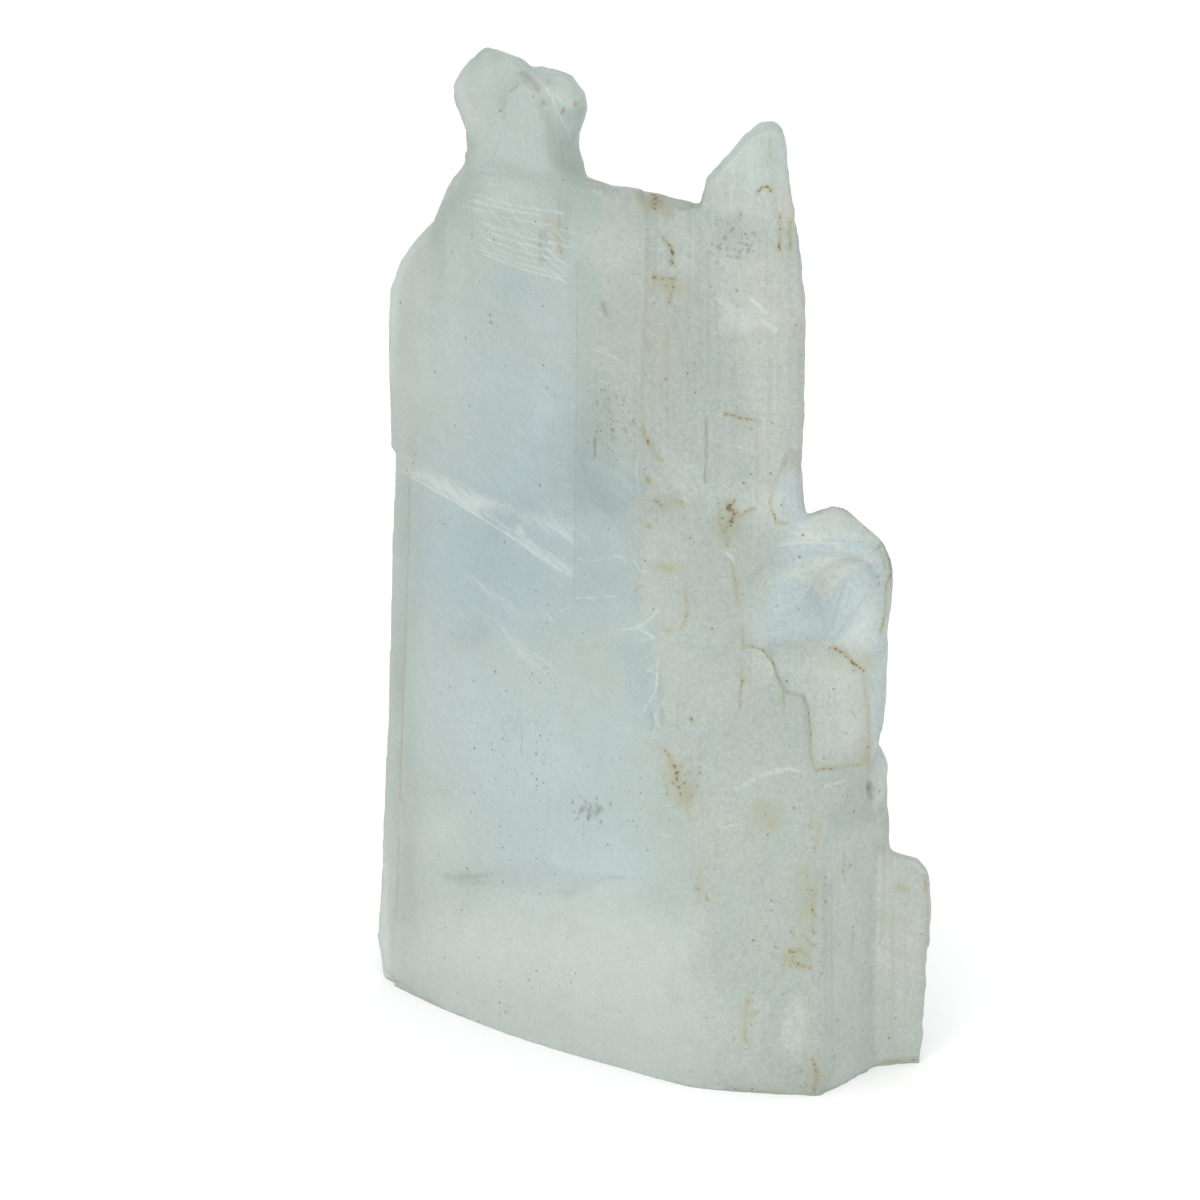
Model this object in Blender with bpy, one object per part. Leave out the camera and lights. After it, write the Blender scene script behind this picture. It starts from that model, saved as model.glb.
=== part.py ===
"""A slab of selenite, the clear form of gypsum, standing on its flat broken base.

The crystal grew as one piece, so it is one solid. It splits in flat sheets along its broad
face, and that is how it is modelled here: a heart, sheets laid on it with broken edges, two
blocks at the lower right, a knob and a spire at the top, and scoops where it broke like glass.
Positions are in millimetres: across (+X), back (+Y) and up (+Z), with the broad face at -Y.
"""

import math
from collections import namedtuple

import bmesh
import bpy
from mathutils import Matrix, Vector

MM = 0.001

# Driving dimensions, in millimetres.
FRONT = -22.0           # the broad face
BACK = 20.0             # the back of the lower half
LEFT = -61.0            # the left edge at the base
SPIRE_TOP = 205.6
KNOB_TOP = 214.4
NOTCH = 190.0           # the broken edge between the knob and the spire
SHEET = 1.5             # one cleavage sheet
BOW_FROM = 7.0          # left of here the broad face curves back
BOW = 0.0025            # how fast it curves, per millimetre
FOLD_STEP = 8.0         # spacing of the upright folds that carry the curve
BELOW = -4.0            # how far the blanks reach under the base before it is cut flat

# An upright plane: a point on it, and its turn from the broad face in degrees.
Facet = namedtuple("Facet", "x y turn")

BROAD = Facet(0.0, FRONT, 0.0)
FLANK = Facet(21.5, -19.0, 40.0)        # the striated upper right
TERRACE = Facet(27.0, -20.5, 29.0)      # the matt middle right
RECESS = Facet(38.0, -13.0, 45.0)       # behind the terrace, under the bulge
BLOCK = Facet(34.0, FRONT, 28.0)        # the lower right block
WING = Facet(57.5, 14.0, 48.0)          # the thin slab behind the block
REAR = Facet(0.0, BACK, 180.0)          # the back, seen from behind


def on_facet(facet, along, up, out=0.0):
    """A point `along` a facet and `up` from the base, standing `out` in front of it."""
    turn = math.radians(facet.turn)
    side = Vector((math.cos(turn), math.sin(turn), 0.0))
    outward = Vector((math.sin(turn), -math.cos(turn), 0.0))
    return Vector((facet.x, facet.y, up)) + side * along + outward * out


def clear_scene():
    for thing in list(bpy.data.objects):
        bpy.data.objects.remove(thing, do_unlink=True)


def new_collection(name):
    collection = bpy.data.collections.new(name)
    bpy.context.scene.collection.children.link(collection)
    return collection


def selenite_material():
    material = bpy.data.materials.new("milky_selenite")
    material.use_nodes = True
    shader = material.node_tree.nodes["Principled BSDF"]
    shader.inputs["Base Color"].default_value = (0.50, 0.56, 0.52, 1.0)
    shader.inputs["Roughness"].default_value = 0.35
    shader.inputs["IOR"].default_value = 1.52
    shader.inputs["Transmission Weight"].default_value = 0.4
    return material


def add_mesh(name, shape, collection):
    """Turn a bmesh that was drawn in millimetres into an object in metres."""
    bmesh.ops.scale(shape, vec=(MM, MM, MM), verts=shape.verts)
    bmesh.ops.recalc_face_normals(shape, faces=shape.faces)
    mesh = bpy.data.meshes.new(name)
    shape.to_mesh(mesh)
    shape.free()
    solid = bpy.data.objects.new(name, mesh)
    collection.objects.link(solid)
    return solid


def sheet(name, facet, outline, out, thick, collection):
    """A cleavage sheet: a flat outline on a facet, its front `out` in front of it."""
    curve = bpy.data.curves.new(name, "CURVE")
    curve.dimensions = "2D"
    curve.fill_mode = "BOTH"
    curve.extrude = thick * MM / 2
    spline = curve.splines.new("POLY")
    spline.points.add(len(outline) - 1)
    for point, (along, up) in zip(spline.points, outline):
        point.co = (along * MM, up * MM, 0.0, 1.0)
    spline.use_cyclic_u = True

    turn = math.radians(facet.turn)
    stand = Matrix.Rotation(turn, 4, "Z") @ Matrix.Rotation(math.pi / 2, 4, "X")
    middle = on_facet(facet, 0.0, 0.0, out - thick / 2) * MM
    drawn = bpy.data.objects.new(name + "_curve", curve)
    collection.objects.link(drawn)
    drawn.matrix_world = Matrix.Translation(middle) @ stand
    bpy.context.view_layer.update()

    ready = drawn.evaluated_get(bpy.context.evaluated_depsgraph_get())
    mesh = bpy.data.meshes.new_from_object(ready)
    solid = bpy.data.objects.new(name, mesh)
    solid.matrix_world = drawn.matrix_world.copy()
    collection.objects.link(solid)
    bpy.data.objects.remove(drawn, do_unlink=True)

    shape = bmesh.new()
    shape.from_mesh(mesh)
    bmesh.ops.remove_doubles(shape, verts=shape.verts, dist=1e-6)
    bmesh.ops.recalc_face_normals(shape, faces=shape.faces)
    shape.to_mesh(mesh)
    shape.free()
    return solid


def lump(name, corners, collection):
    """The flat-sided solid that its corner points span."""
    shape = bmesh.new()
    for corner in corners:
        shape.verts.new(corner)
    hull = bmesh.ops.convex_hull(shape, input=shape.verts)
    inside = [item for item in hull["geom_interior"] if isinstance(item, bmesh.types.BMVert)]
    bmesh.ops.delete(shape, geom=inside, context="VERTS")
    return add_mesh(name, shape, collection)


def box(name, centre, size, turn, collection):
    """A box with its own turn about the upright axis, in degrees."""
    shape = bmesh.new()
    bmesh.ops.create_cube(shape, size=1.0)
    bmesh.ops.scale(shape, vec=size, verts=shape.verts)
    spin = Matrix.Rotation(math.radians(turn), 4, "Z")
    bmesh.ops.transform(shape, matrix=Matrix.Translation(centre) @ spin, verts=shape.verts)
    return add_mesh(name, shape, collection)


def ball(name, centre, radii, collection):
    """A round tool for the shell-shaped scoops of glassy breaks."""
    shape = bmesh.new()
    bmesh.ops.create_icosphere(shape, subdivisions=3, radius=1.0)
    bmesh.ops.scale(shape, vec=radii, verts=shape.verts)
    bmesh.ops.translate(shape, vec=centre, verts=shape.verts)
    return add_mesh(name, shape, collection)


def combine(body, other, operation):
    """Join `other` to the body, or cut it away, and keep the result as the body's mesh."""
    boolean = body.modifiers.new(operation.lower(), "BOOLEAN")
    boolean.operation = operation
    boolean.solver = "EXACT"
    boolean.object = other
    bpy.context.view_layer.update()
    ready = body.evaluated_get(bpy.context.evaluated_depsgraph_get())
    mesh = bpy.data.meshes.new_from_object(ready)
    body.modifiers.clear()
    body.data = mesh


def fuse(solids, name, collection):
    """Grow the pieces of one crystal together into a single closed body."""
    body = solids[0]
    frame = body.matrix_world.copy()
    body.data.transform(frame)
    body.matrix_world = Matrix.Identity(4)
    for solid in solids[1:]:
        combine(body, solid, "UNION")
        bpy.data.objects.remove(solid, do_unlink=True)
    body.name = name
    body.data.name = name
    return body


def heart(collection):
    """The thick inside of the crystal, thinning towards the top edge."""
    front = FRONT + 2 * SHEET + 0.5
    face = [(LEFT + 5, BELOW), (LEFT + 2.5, 8), (-58.6, 30), (-55, 100), (-54, 140), (-53, 156),
            (-45, 167), (-35, 180), (-27, NOTCH - 1), (25, NOTCH - 1), (25, BELOW)]
    corners = [Vector((x, front, z)) for x, z in face]
    rear = [(LEFT + 6, BELOW, 6), (LEFT + 12, BELOW, 17), (LEFT + 4, 70, 4), (LEFT + 12, 80, 15),
            (-50, 140, 0), (-44, 140, 8), (-40, 172, -2), (-27, NOTCH - 2, -9), (24, NOTCH - 2, -7),
            (24, 140, 10), (24, 80, 16), (24, BELOW, BACK)]
    corners += [Vector((x, y, z)) for x, z, y in rear]
    return lump("heart", corners, collection)


def lower_heart(collection):
    """The inside of the lower right, which the block and the bulge grow from."""
    plan = [(20, -18), (30.5, -17.4), (44, -3.9), (54, 6.2), (52, 14.3), (40, 18.4), (20, 18.7)]
    corners = [Vector((x, y, BELOW - 1)) for x, y in plan]
    corners += [Vector((x, y, 96)) for x, y in plan]
    corners += [Vector((24, -10, 118)), Vector((46, 4, 112)), Vector((40, 12, 110)), Vector((22, 12, 114))]
    return lump("lower_heart", corners, collection)


def broad_sheets(collection):
    """The two outer sheets of the broad face, each broken back further than the one behind."""
    second = [(LEFT + 3.5, BELOW - 2), (LEFT + 1, 1.5), (LEFT - 0.8, 8), (-60.4, 22), (-57.1, 64),
              (-56.2, 86), (-54.5, 112), (-54.3, 122), (-55.3, 136), (-55.4, 147), (-54.8, 156.5),
              (-51.8, 162.6), (-45.8, 169.2), (-40.4, 174.2), (-37.4, 179.6), (-36, 182.8),
              (-33.2, 186.2), (-30.6, 189), (-30.4, 192), (-6, 193), (5.5, 191.4), (10, 191.8),
              (19, 192.4), (21.8, 180), (21, 159), (18.9, 139), (19.7, 136), (19, 128), (17.8, 116),
              (17.8, 108), (26, 102), (30, 94), (29.5, 80), (34.2, 58), (34.3, BELOW - 2)]
    outer = [(-54.6, BELOW - 3), (-53.3, 16), (-52, 31), (-49.4, 75), (-47.9, 100), (-47.1, 116),
             (-54.2, 121), (-55.0, 136), (-55.1, 147), (-54.4, 156), (-51.3, 162.1), (-45.4, 168.7),
             (-40, 173.6), (-36.6, 179), (-30.4, 185), (-20.6, 190.5), (-18, 197), (-17, 207),
             (-12, 211), (-6, 208.6), (-5, 197), (-3.4, 192.4), (4, 190.6), (4.4, 177.5),
             (3.9, 140.6), (3.6, 108), (3.4, 101.5), (8, 103), (12, 102), (18.9, 104.5),
             (21, 100.5), (26.9, 97.3), (25, 84), (26, 79), (25, 74), (29.5, 66), (34, 57),
             (34.1, BELOW - 3)]
    return [sheet("second_sheet", BROAD, second, -SHEET, 3.6, collection),
            sheet("outer_sheet", BROAD, outer, 0.0, 2.7, collection)]


def knob(collection):
    """The rounded stub at the top left: a thin neck and two glassy lobes."""
    neck = [(-31, 184), (-31, 191), (-31.8, 195), (-27, 204), (-16, 211), (-7, 210.4), (-4.6, 206),
            (-5, 196), (-3, 188)]
    left_lobe = [(-26.5, -17, KNOB_TOP), (-31.5, -17, 210.2), (-36.6, -15.5, 206.2), (-39.4, -15, 202.4),
                 (-38.8, -15, 199), (-34.8, -15, 193.6), (-22, -19.5, 211.6), (-18.4, -18, 213.6),
                 (-15.6, -15, 213), (-29, -20, 204), (-25, -20.5, 198), (-19, -20.5, 206),
                 (-22, -20, 193), (-34, -10, 206.4), (-27, -9, 211.6), (-31, -8, 200), (-19, -9, 208),
                 (-21, -8, 196), (-33, -11, 193)]
    right_lobe = [(-8.8, -14.6, 211.6), (-6.8, -14.6, 212), (-4.6, -14, 210.4), (-1.2, -13.4, 208),
                  (-0.2, -13.4, 205), (-1.8, -13.4, 200.2), (-4.6, -13, 194.6), (-7, -19, 207),
                  (-5.2, -19, 203), (-3.4, -18, 206), (-7, -18, 196), (-12, -7, 208.4), (-6, -7, 206.4),
                  (-6, -7, 201), (-11, -7, 197), (-13, -12, 211.4)]
    return [sheet("neck", BROAD, neck, -3.2, 9.4, collection),
            lump("left_lobe", [Vector(corner) for corner in left_lobe], collection),
            lump("right_lobe", [Vector(corner) for corner in right_lobe], collection)]


def flank(collection):
    """The upper right: a striated oblique face, the spire on it and a leaning sliver."""
    face = [(-3, 90), (30.2, 90), (30, 137), (30.2, 144), (31.2, 152), (31.9, 166), (31.2, 176),
            (29.6, 186), (10, NOTCH - 2), (0.7, NOTCH), (-2.4, NOTCH), (-3, 180)]
    body = [on_facet(FLANK, along, up) for along, up in face]
    deep = ((0, 90), (29.4, 90), (29.4, 120), (0, 120))
    body += [on_facet(FLANK, along, up, -20) for along, up in deep]
    body += [on_facet(FLANK, along, up, -12) for along, up in ((0, 174), (31, 160), (30, 174))]
    body += [on_facet(FLANK, along, up, -8) for along, up in ((0, NOTCH - 3), (28, 183))]
    spire = [(7, 180), (9.6, 187.5), (11, 191.2), (11.6, 193.8), (13.5, 195.6), (16, 198.8), (18.8, 202.6),
             (21.6, 205), (23.1, SPIRE_TOP), (25.2, SPIRE_TOP), (26.8, 204.6), (27.4, 203), (27.9, 198.7),
             (28.4, 193), (29.5, 185.6), (31, 176), (31.6, 165), (9, 165)]
    left_rib = [(-1.5, 128), (0.8, 132), (2.4, 150), (2, 170), (0.9, 189), (-1.8, 190.5), (-1.5, 160)]
    mid_rib = [(4.2, 126.5), (7.8, 128), (10.9, 131), (11.2, 146), (11.5, 189), (8.2, 189), (5, 186),
               (4.6, 150)]
    lintel = [(10.8, 144.9), (14.5, 144.3), (21.9, 142.8), (25.6, 141), (27, 160), (26.6, 178), (22, 184),
              (16.5, 186), (11.6, 187)]
    right_rib = [(22, 124), (25.2, 122), (25.8, 141.2), (22, 143)]
    sliver = [(25.1, 121.5), (24.9, 128), (26.4, 133), (28.4, 137.4), (30, 137), (31.2, 132), (31.7, 124),
              (31.5, 118)]
    return [lump("flank", body, collection),
            sheet("spire", FLANK, spire, -0.4, 7.0, collection),
            sheet("left_rib", FLANK, left_rib, 1.0, 3.0, collection),
            sheet("middle_rib", FLANK, mid_rib, 0.8, 3.0, collection),
            sheet("lintel", FLANK, lintel, 1.1, 3.0, collection),
            sheet("right_rib", FLANK, right_rib, 1.0, 3.0, collection),
            sheet("leaning_sliver", FLANK, sliver, 2.2, 7.0, collection)]


def terraces(collection):
    """The matt middle right: a broad terrace, and thin layers left lying on the recess."""
    terrace = [(-1.2, 58), (-1.4, 141), (1.5, 134), (4.8, 130), (7.5, 128.5), (10, 126), (11.5, 121.6),
               (12.3, 117), (14.3, 113.4), (14.9, 102), (15.8, 95.8), (15.8, 60)]
    thin_layer = [(0.6, 72), (0.8, 92), (3, 97.5), (6.8, 99), (10.4, 96.4), (11.6, 90), (9.8, 84.5),
                  (8.6, 77), (5, 73)]
    contour = [(-3, 60), (-3, 96), (2.4, 95.6), (4.9, 96.4), (6.5, 95.3), (8.3, 93.4), (9.3, 90),
               (10.5, 87.2), (11.6, 85.9), (14.3, 85.7), (15.5, 84), (16, 77), (16.5, 72), (17.6, 68.5),
               (17.6, 60)]
    return [sheet("terrace", TERRACE, terrace, 0.0, 8.0, collection),
            sheet("thin_layer", TERRACE, thin_layer, 0.6, 4.0, collection),
            sheet("contour_layer", RECESS, contour, 1.3, 5.0, collection)]


def bulge(collection):
    """The glassy bulge at the right, over the flat face that runs down behind the block."""
    recess = [(-2, 60), (-2, 117), (3, 117.5), (8, 118), (14, 118.5), (20, 117.5), (26, 116), (30, 113),
              (31.6, 109), (32.4, 102), (33, 95), (33, 86), (32.8, 78), (31.2, 71), (29.4, 66), (28.6, 58)]
    front = [(12, 120.6, 0.4), (18.2, 124.4, -2.6), (21.8, 125.2, -3.2), (24.8, 124, -3.4),
             (28.2, 120.6, -3.4), (31.6, 117.2, -3.6), (34, 113.6, -3.8), (34.8, 109.5, -4),
             (34.4, 104, -4), (33.6, 97, -3.6), (14, 117.4, 1.3), (20, 119.2, 1.4), (26, 116, 1.2),
             (29.5, 111, 1), (30.5, 103, 0.8), (27, 95.6, 0.9), (21.6, 96.4, 1.2), (17, 103, 1.7),
             (13.6, 110, 1.8)]
    back = [(12, 114, -12), (20, 117, -12), (27, 114, -12), (30, 108, -12), (30, 99, -12), (20, 97, -14)]
    corners = [on_facet(RECESS, along, up, out) for along, up, out in front + back]
    plate = [(2.5, 98.5), (3, 103), (5, 107.6), (9, 110.2), (12.3, 111.2), (15, 110), (17.4, 105.6),
             (19.6, 102), (20.3, 96.8), (14, 96), (7, 97.2)]
    return [sheet("recess_face", RECESS, recess, 0.0, 18.0, collection),
            lump("bulge", corners, collection),
            sheet("shell_plate", RECESS, plate, 1.5, 4.0, collection)]


def block(collection):
    """The block at the lower right, with a sloping shoulder and a flat striated side."""
    foot = [(34, -22), (44.5, -17.2), (59, -8.7), (57.8, -3), (56.6, 6), (56.2, 14.6), (40, 18), (26, 0),
            (26, -19.6)]
    top = [(34, -21.6, 56), (44.5, -16.8, 58.5), (52, -12.6, 59.5), (59, -8.5, 55), (58.4, -1, 64),
           (57.8, 6.8, 67), (57.2, 9.4, 62.4), (56.6, 14, 55.4), (38, -16.6, 63.6), (44, -11, 68.6),
           (50, -3.2, 70.6), (55.4, 3.2, 70.8), (46, 14, 60), (30, 0, 60)]
    corners = [Vector((x, y, BELOW - 4)) for x, y in foot]
    corners += [Vector(corner) for corner in top]
    wing = [(-14, BELOW - 5), (-14, 44), (1.6, 47.4), (3.1, 46.3), (5.3, 45.4), (8.6, 44.6), (10, 42.6),
            (10.4, 39), (10.1, 31), (9.5, 22), (8.9, 10), (8, BELOW - 5)]
    back_sliver = [(47, 48), (49, 60), (52.2, 69.4), (54, 70.4), (56, 68), (57, 66), (56.8, 58),
                   (56.9, 48)]
    behind = Facet(0.0, 12.6, 0.0)
    return [lump("block", corners, collection),
            sheet("wing", WING, wing, 0.0, 6.0, collection),
            sheet("back_sliver", behind, back_sliver, 0.0, 5.0, collection)]


def rear_sheets(collection):
    """Sheets on the back, which the crystal sheds in the same way as its front."""
    low = [(-50, BELOW - 6), (-49, 34), (-44, 36), (-43, 71), (-30, 66), (-27, 88), (-11, 80), (-9, 97),
           (9, 88), (12, 104), (26, 96), (30, 58), (37, 55), (40, 22), (46, 20), (48, BELOW - 6)]
    middle = [(-30, 50), (-29, 108), (-16, 101), (-14, 126), (4, 117), (6, 140), (21, 131), (23, 112),
              (34, 105), (36, 80), (45, 74), (46, 30)]
    return [sheet("rear_low_sheet", REAR, low, 0.8, 6.0, collection),
            sheet("rear_middle_sheet", REAR, middle, -0.6, 6.0, collection)]


def scoops(cutters):
    """Shell-shaped breaks, the recessed window and the flat cut of the base."""
    def at(facet, along, up, out):
        return on_facet(facet, along, up, out)
    tools = [
        ball("valley_scoop", at(RECESS, 25, 104, 10.6), (13, 13, 16), cutters),
        ball("rim_scoop", at(RECESS, 20, 129, 7.5), (14, 12, 11), cutters),
        ball("knob_scoop", Vector((-28, -30, 198)), (12, 11.5, 13), cutters),
        ball("shoulder_scoop", at(BLOCK, 9, 67, 15), (18, 17, 12), cutters),
    ]
    window = box("window_cut", at(FLANK, 16.5, 134.0, 1.2), (10.8, 3.4, 21.0), FLANK.turn, cutters)
    floor = box("floor_cut", Vector((0, 0, BELOW * 5)), (300, 300, -BELOW * 10), 0.0, cutters)
    return tools + [window, floor]


def grooves(cutters):
    """The boldest of the upright growth grooves, cut as narrow V-shaped channels."""
    lines = [(FLANK, 3.4, 158, 60, 1.2), (FLANK, 13.4, 166, 38, 1.3), (FLANK, 19.2, 162, 44, 1.2),
             (FLANK, 28.3, 158, 52, 1.0), (BLOCK, 25.8, 24, 46, 1.0), (WING, 3.4, 22, 48, 1.0),
             (WING, 6.4, 20, 44, 0.9)]
    tools = []
    for number, (facet, along, up, length, width) in enumerate(lines):
        centre = on_facet(facet, along, up, 1.0 if facet is FLANK else 0.2)
        tools.append(box(f"groove_{number}", centre, (width, width, length), facet.turn + 45.0, cutters))
    return tools


def curve_broad_face(body):
    """Bend the left of the front gently back, as a grown face is never quite flat."""
    shape = bmesh.new()
    shape.from_mesh(body.data)
    fold = BOW_FROM
    while fold > LEFT:
        everything = shape.verts[:] + shape.edges[:] + shape.faces[:]
        bmesh.ops.bisect_plane(shape, geom=everything, dist=1e-7, plane_co=(fold * MM, 0, 0),
                               plane_no=(1, 0, 0))
        fold -= FOLD_STEP
    for vertex in shape.verts:
        reach = min(0.0, vertex.co.x / MM - BOW_FROM)
        share = (BACK - vertex.co.y / MM) / (BACK - FRONT)
        vertex.co.y += BOW * reach * reach * share * MM
    shape.to_mesh(body.data)
    shape.free()


def stand_on_origin(body):
    """Put the origin under the middle of the crystal, in the plane of its flat base."""
    corners = [Vector(corner) for corner in body.bound_box]
    low = Vector([min(corner[axis] for corner in corners) for axis in range(3)])
    high = Vector([max(corner[axis] for corner in corners) for axis in range(3)])
    shift = Vector((-(low.x + high.x) / 2, -(low.y + high.y) / 2, -low.z))
    body.data.transform(Matrix.Translation(shift))
    print("moved by, mm:", [round(step / MM, 3) for step in shift])


def clean(body):
    """Drop the slivers that the joins leave, so that every face has a real size."""
    shape = bmesh.new()
    shape.from_mesh(body.data)
    bmesh.ops.remove_doubles(shape, verts=shape.verts, dist=0.02 * MM)
    bmesh.ops.dissolve_degenerate(shape, edges=shape.edges, dist=0.02 * MM)
    bmesh.ops.triangulate(shape, faces=shape.faces)
    bmesh.ops.recalc_face_normals(shape, faces=shape.faces)
    shape.to_mesh(body.data)
    shape.free()


def main():
    clear_scene()
    crystal = new_collection("selenite")
    cutters = new_collection("cutters")
    solids = [heart(crystal), lower_heart(crystal)]
    for grow in (broad_sheets, knob, flank, terraces, bulge, block, rear_sheets):
        solids += grow(crystal)
    body = fuse(solids, "selenite_slab", crystal)
    for tool in scoops(cutters) + grooves(cutters):
        tool.hide_render = True
        tool.display_type = "WIRE"
        combine(body, tool, "DIFFERENCE")
    curve_broad_face(body)
    clean(body)
    stand_on_origin(body)
    body.data.materials.clear()
    body.data.materials.append(selenite_material())


main()
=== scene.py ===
# %% [markdown]
# # A slab of selenite
#
# Selenite is the clear form of gypsum. It grows as one crystal and splits in flat sheets, so the
# slab has a broad cleaved face, a flank of upright growth lines, and shell-shaped breaks where it
# snapped like glass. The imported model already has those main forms. This lesson gives them the
# broken, grown and stained surface of the real mineral, and a clear, milky material to be made of.

import math

import bpy
import numpy as np
from mathutils import Matrix, Vector
from mathutils.bvhtree import BVHTree


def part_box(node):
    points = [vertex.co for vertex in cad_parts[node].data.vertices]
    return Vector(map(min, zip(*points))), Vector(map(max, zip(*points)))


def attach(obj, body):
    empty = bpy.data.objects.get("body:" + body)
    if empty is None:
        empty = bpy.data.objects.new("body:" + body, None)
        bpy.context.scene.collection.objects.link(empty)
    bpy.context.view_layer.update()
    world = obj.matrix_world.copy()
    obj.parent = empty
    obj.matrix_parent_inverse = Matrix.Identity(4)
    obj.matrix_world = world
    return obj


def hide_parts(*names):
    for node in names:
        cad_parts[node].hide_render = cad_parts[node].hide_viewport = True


MM = 0.001
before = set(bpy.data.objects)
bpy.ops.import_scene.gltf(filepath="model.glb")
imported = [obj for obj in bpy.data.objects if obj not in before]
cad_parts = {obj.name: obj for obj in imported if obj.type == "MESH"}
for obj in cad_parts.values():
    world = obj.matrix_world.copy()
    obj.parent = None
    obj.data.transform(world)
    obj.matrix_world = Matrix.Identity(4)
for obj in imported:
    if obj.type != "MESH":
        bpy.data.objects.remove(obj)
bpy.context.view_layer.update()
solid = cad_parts["selenite_slab"]
low, high = (np.array(corner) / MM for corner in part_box("selenite_slab"))
print("the slab is", np.round(high - low, 1), "mm across, deep and high")

# %% [markdown]
# ## Where the slab is seen from
#
# A mineral portrait is taken from far away with a long lens, so that upright edges stay upright.
# The camera stands 2.5 m off, a little to the right of the broad face and a little above it.
# Its three directions are kept, because the markings further down are laid out as seen from here
# and then set on the surface itself.

# %% The camera
AZIMUTH = math.radians(39.0)
ELEVATION = math.radians(18.0)
LENS_MM = 360.0
SENSOR_MM = 36.0
DISTANCE_MM = 2520.0
FRAME_PX = 1200
AIM = Vector((-4.01, -7.83, 95.95))     # the point in the middle of the frame, in millimetres

toward = Vector((math.sin(AZIMUTH) * math.cos(ELEVATION),
                 -math.cos(AZIMUTH) * math.cos(ELEVATION),
                 math.sin(ELEVATION)))
right = Vector((math.cos(AZIMUTH), math.sin(AZIMUTH), 0.0))
above = toward.cross(right)
eye = AIM + toward * DISTANCE_MM

lens = bpy.data.cameras.new("camera")
lens.lens = LENS_MM
lens.sensor_width = SENSOR_MM
lens.clip_start = 0.05
camera = bpy.data.objects.new("camera", lens)
bpy.context.scene.collection.objects.link(camera)
turned = Matrix((right, above, toward)).transposed().to_4x4()
camera.matrix_world = Matrix.Translation(eye * MM) @ turned
bpy.context.scene.camera = camera
print("camera at", [round(value, 3) for value in camera.location], "m")

# %% [markdown]
# ## Floor and light
#
# The slab stands on a plain white floor under an even white sky, with one large soft lamp high
# behind the camera. Even light is what a pale, clear mineral needs: it shows the inside and the
# fine lines, and a small bright lamp from one side would only show the steps of the surface.

# %% Stage
FLOOR_WHITE = (0.95, 0.95, 0.95, 1.0)
FLOOR_SIZE = 9.0                    # metres, as all the sizes of the stage
FLOOR_ROUGHNESS = 0.9
SKY_WHITE = (1.0, 1.0, 1.0, 1.0)
SKY_STRENGTH = 1.02
LAMP_PLACE = Vector((0.75, -1.25, 1.40))
LAMP_AIM = Vector((0.0, 0.0, 0.1))
LAMP_SIZE = 2.0
LAMP_POWER = 16.0


def plain_material(name, colour, roughness):
    material = bpy.data.materials.new(name)
    material.use_nodes = True
    shader = material.node_tree.nodes["Principled BSDF"]
    shader.inputs["Base Color"].default_value = colour
    shader.inputs["Roughness"].default_value = roughness
    return material


bpy.ops.mesh.primitive_plane_add(size=FLOOR_SIZE)
floor = bpy.context.active_object
floor.name = "floor"
floor.data.materials.append(plain_material("studio_floor", FLOOR_WHITE, FLOOR_ROUGHNESS))

sky = bpy.data.worlds.new("studio_sky")
sky.use_nodes = True
background = sky.node_tree.nodes["Background"]
background.inputs["Color"].default_value = SKY_WHITE
background.inputs["Strength"].default_value = SKY_STRENGTH
bpy.context.scene.world = sky

lamp = bpy.data.lights.new("key_lamp", "AREA")
lamp.shape = "DISK"
lamp.size = LAMP_SIZE
lamp.energy = LAMP_POWER
holder = bpy.data.objects.new("key_lamp", lamp)
holder.location = LAMP_PLACE
holder.rotation_euler = (LAMP_AIM - LAMP_PLACE).to_track_quat("-Z", "Y").to_euler()
bpy.context.scene.collection.objects.link(holder)
bpy.context.scene.view_settings.view_transform = "Standard"
print("a floor", FLOOR_SIZE, "m wide and a lamp of", LAMP_POWER, "W")

# %% [markdown]
# ## A mesh to carve
#
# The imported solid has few, large faces. A voxel remesh wraps it in small even squares, which
# rounds its edges by about half a millimetre, as a soft mineral's edges are, and leaves points
# everywhere that can be moved. Subdivision would do it too, but it would keep the long thin
# triangles of the solid, and they would show as creases once the surface is roughened.

# %% Wrap the solid in small squares
VOXEL = 0.5      # the side of a square, in millimetres


def finished_mesh(thing):
    ready = thing.evaluated_get(bpy.context.evaluated_depsgraph_get())
    return bpy.data.meshes.new_from_object(ready)


def wrapped(thing):
    """A thing's mesh, wrapped anew in small even squares."""
    wrap = thing.modifiers.new("wrap", "REMESH")
    wrap.mode = "VOXEL"
    wrap.voxel_size = VOXEL * MM
    thing.data = finished_mesh(thing)
    thing.modifiers.clear()
    return thing.data


crystal = bpy.data.objects.new("selenite_crystal", solid.data.copy())
bpy.context.scene.collection.objects.link(crystal)
crystal.data.materials.clear()
mesh = wrapped(crystal)
print("wrapped:", len(mesh.vertices), "points")

# %% [markdown]
# ## Helpers for points
#
# The whole surface is worked as one table of points, in millimetres. A region is a mask: one
# number per point, 1 inside and 0 outside, with an even curve between. Regions are given either
# in the crystal's own space or in the camera's 1200 by 1200 frame, in its pixels.

# %% Points and regions
def points_of(mesh):
    """Every point of a mesh, in millimetres."""
    flat = np.empty(len(mesh.vertices) * 3, np.float32)
    mesh.vertices.foreach_get("co", flat)
    return flat.reshape(-1, 3).astype(float) / MM


def normals_of(mesh):
    """The way the surface faces at every point of a mesh."""
    flat = np.empty(len(mesh.vertices) * 3, np.float32)
    mesh.vertex_normals.foreach_get("vector", flat)
    return flat.reshape(-1, 3).astype(float)


def set_points(mesh, points):
    """Move every point of a mesh to a place in millimetres."""
    mesh.vertices.foreach_set("co", (points * MM).astype(np.float32).ravel())
    mesh.update()


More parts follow.
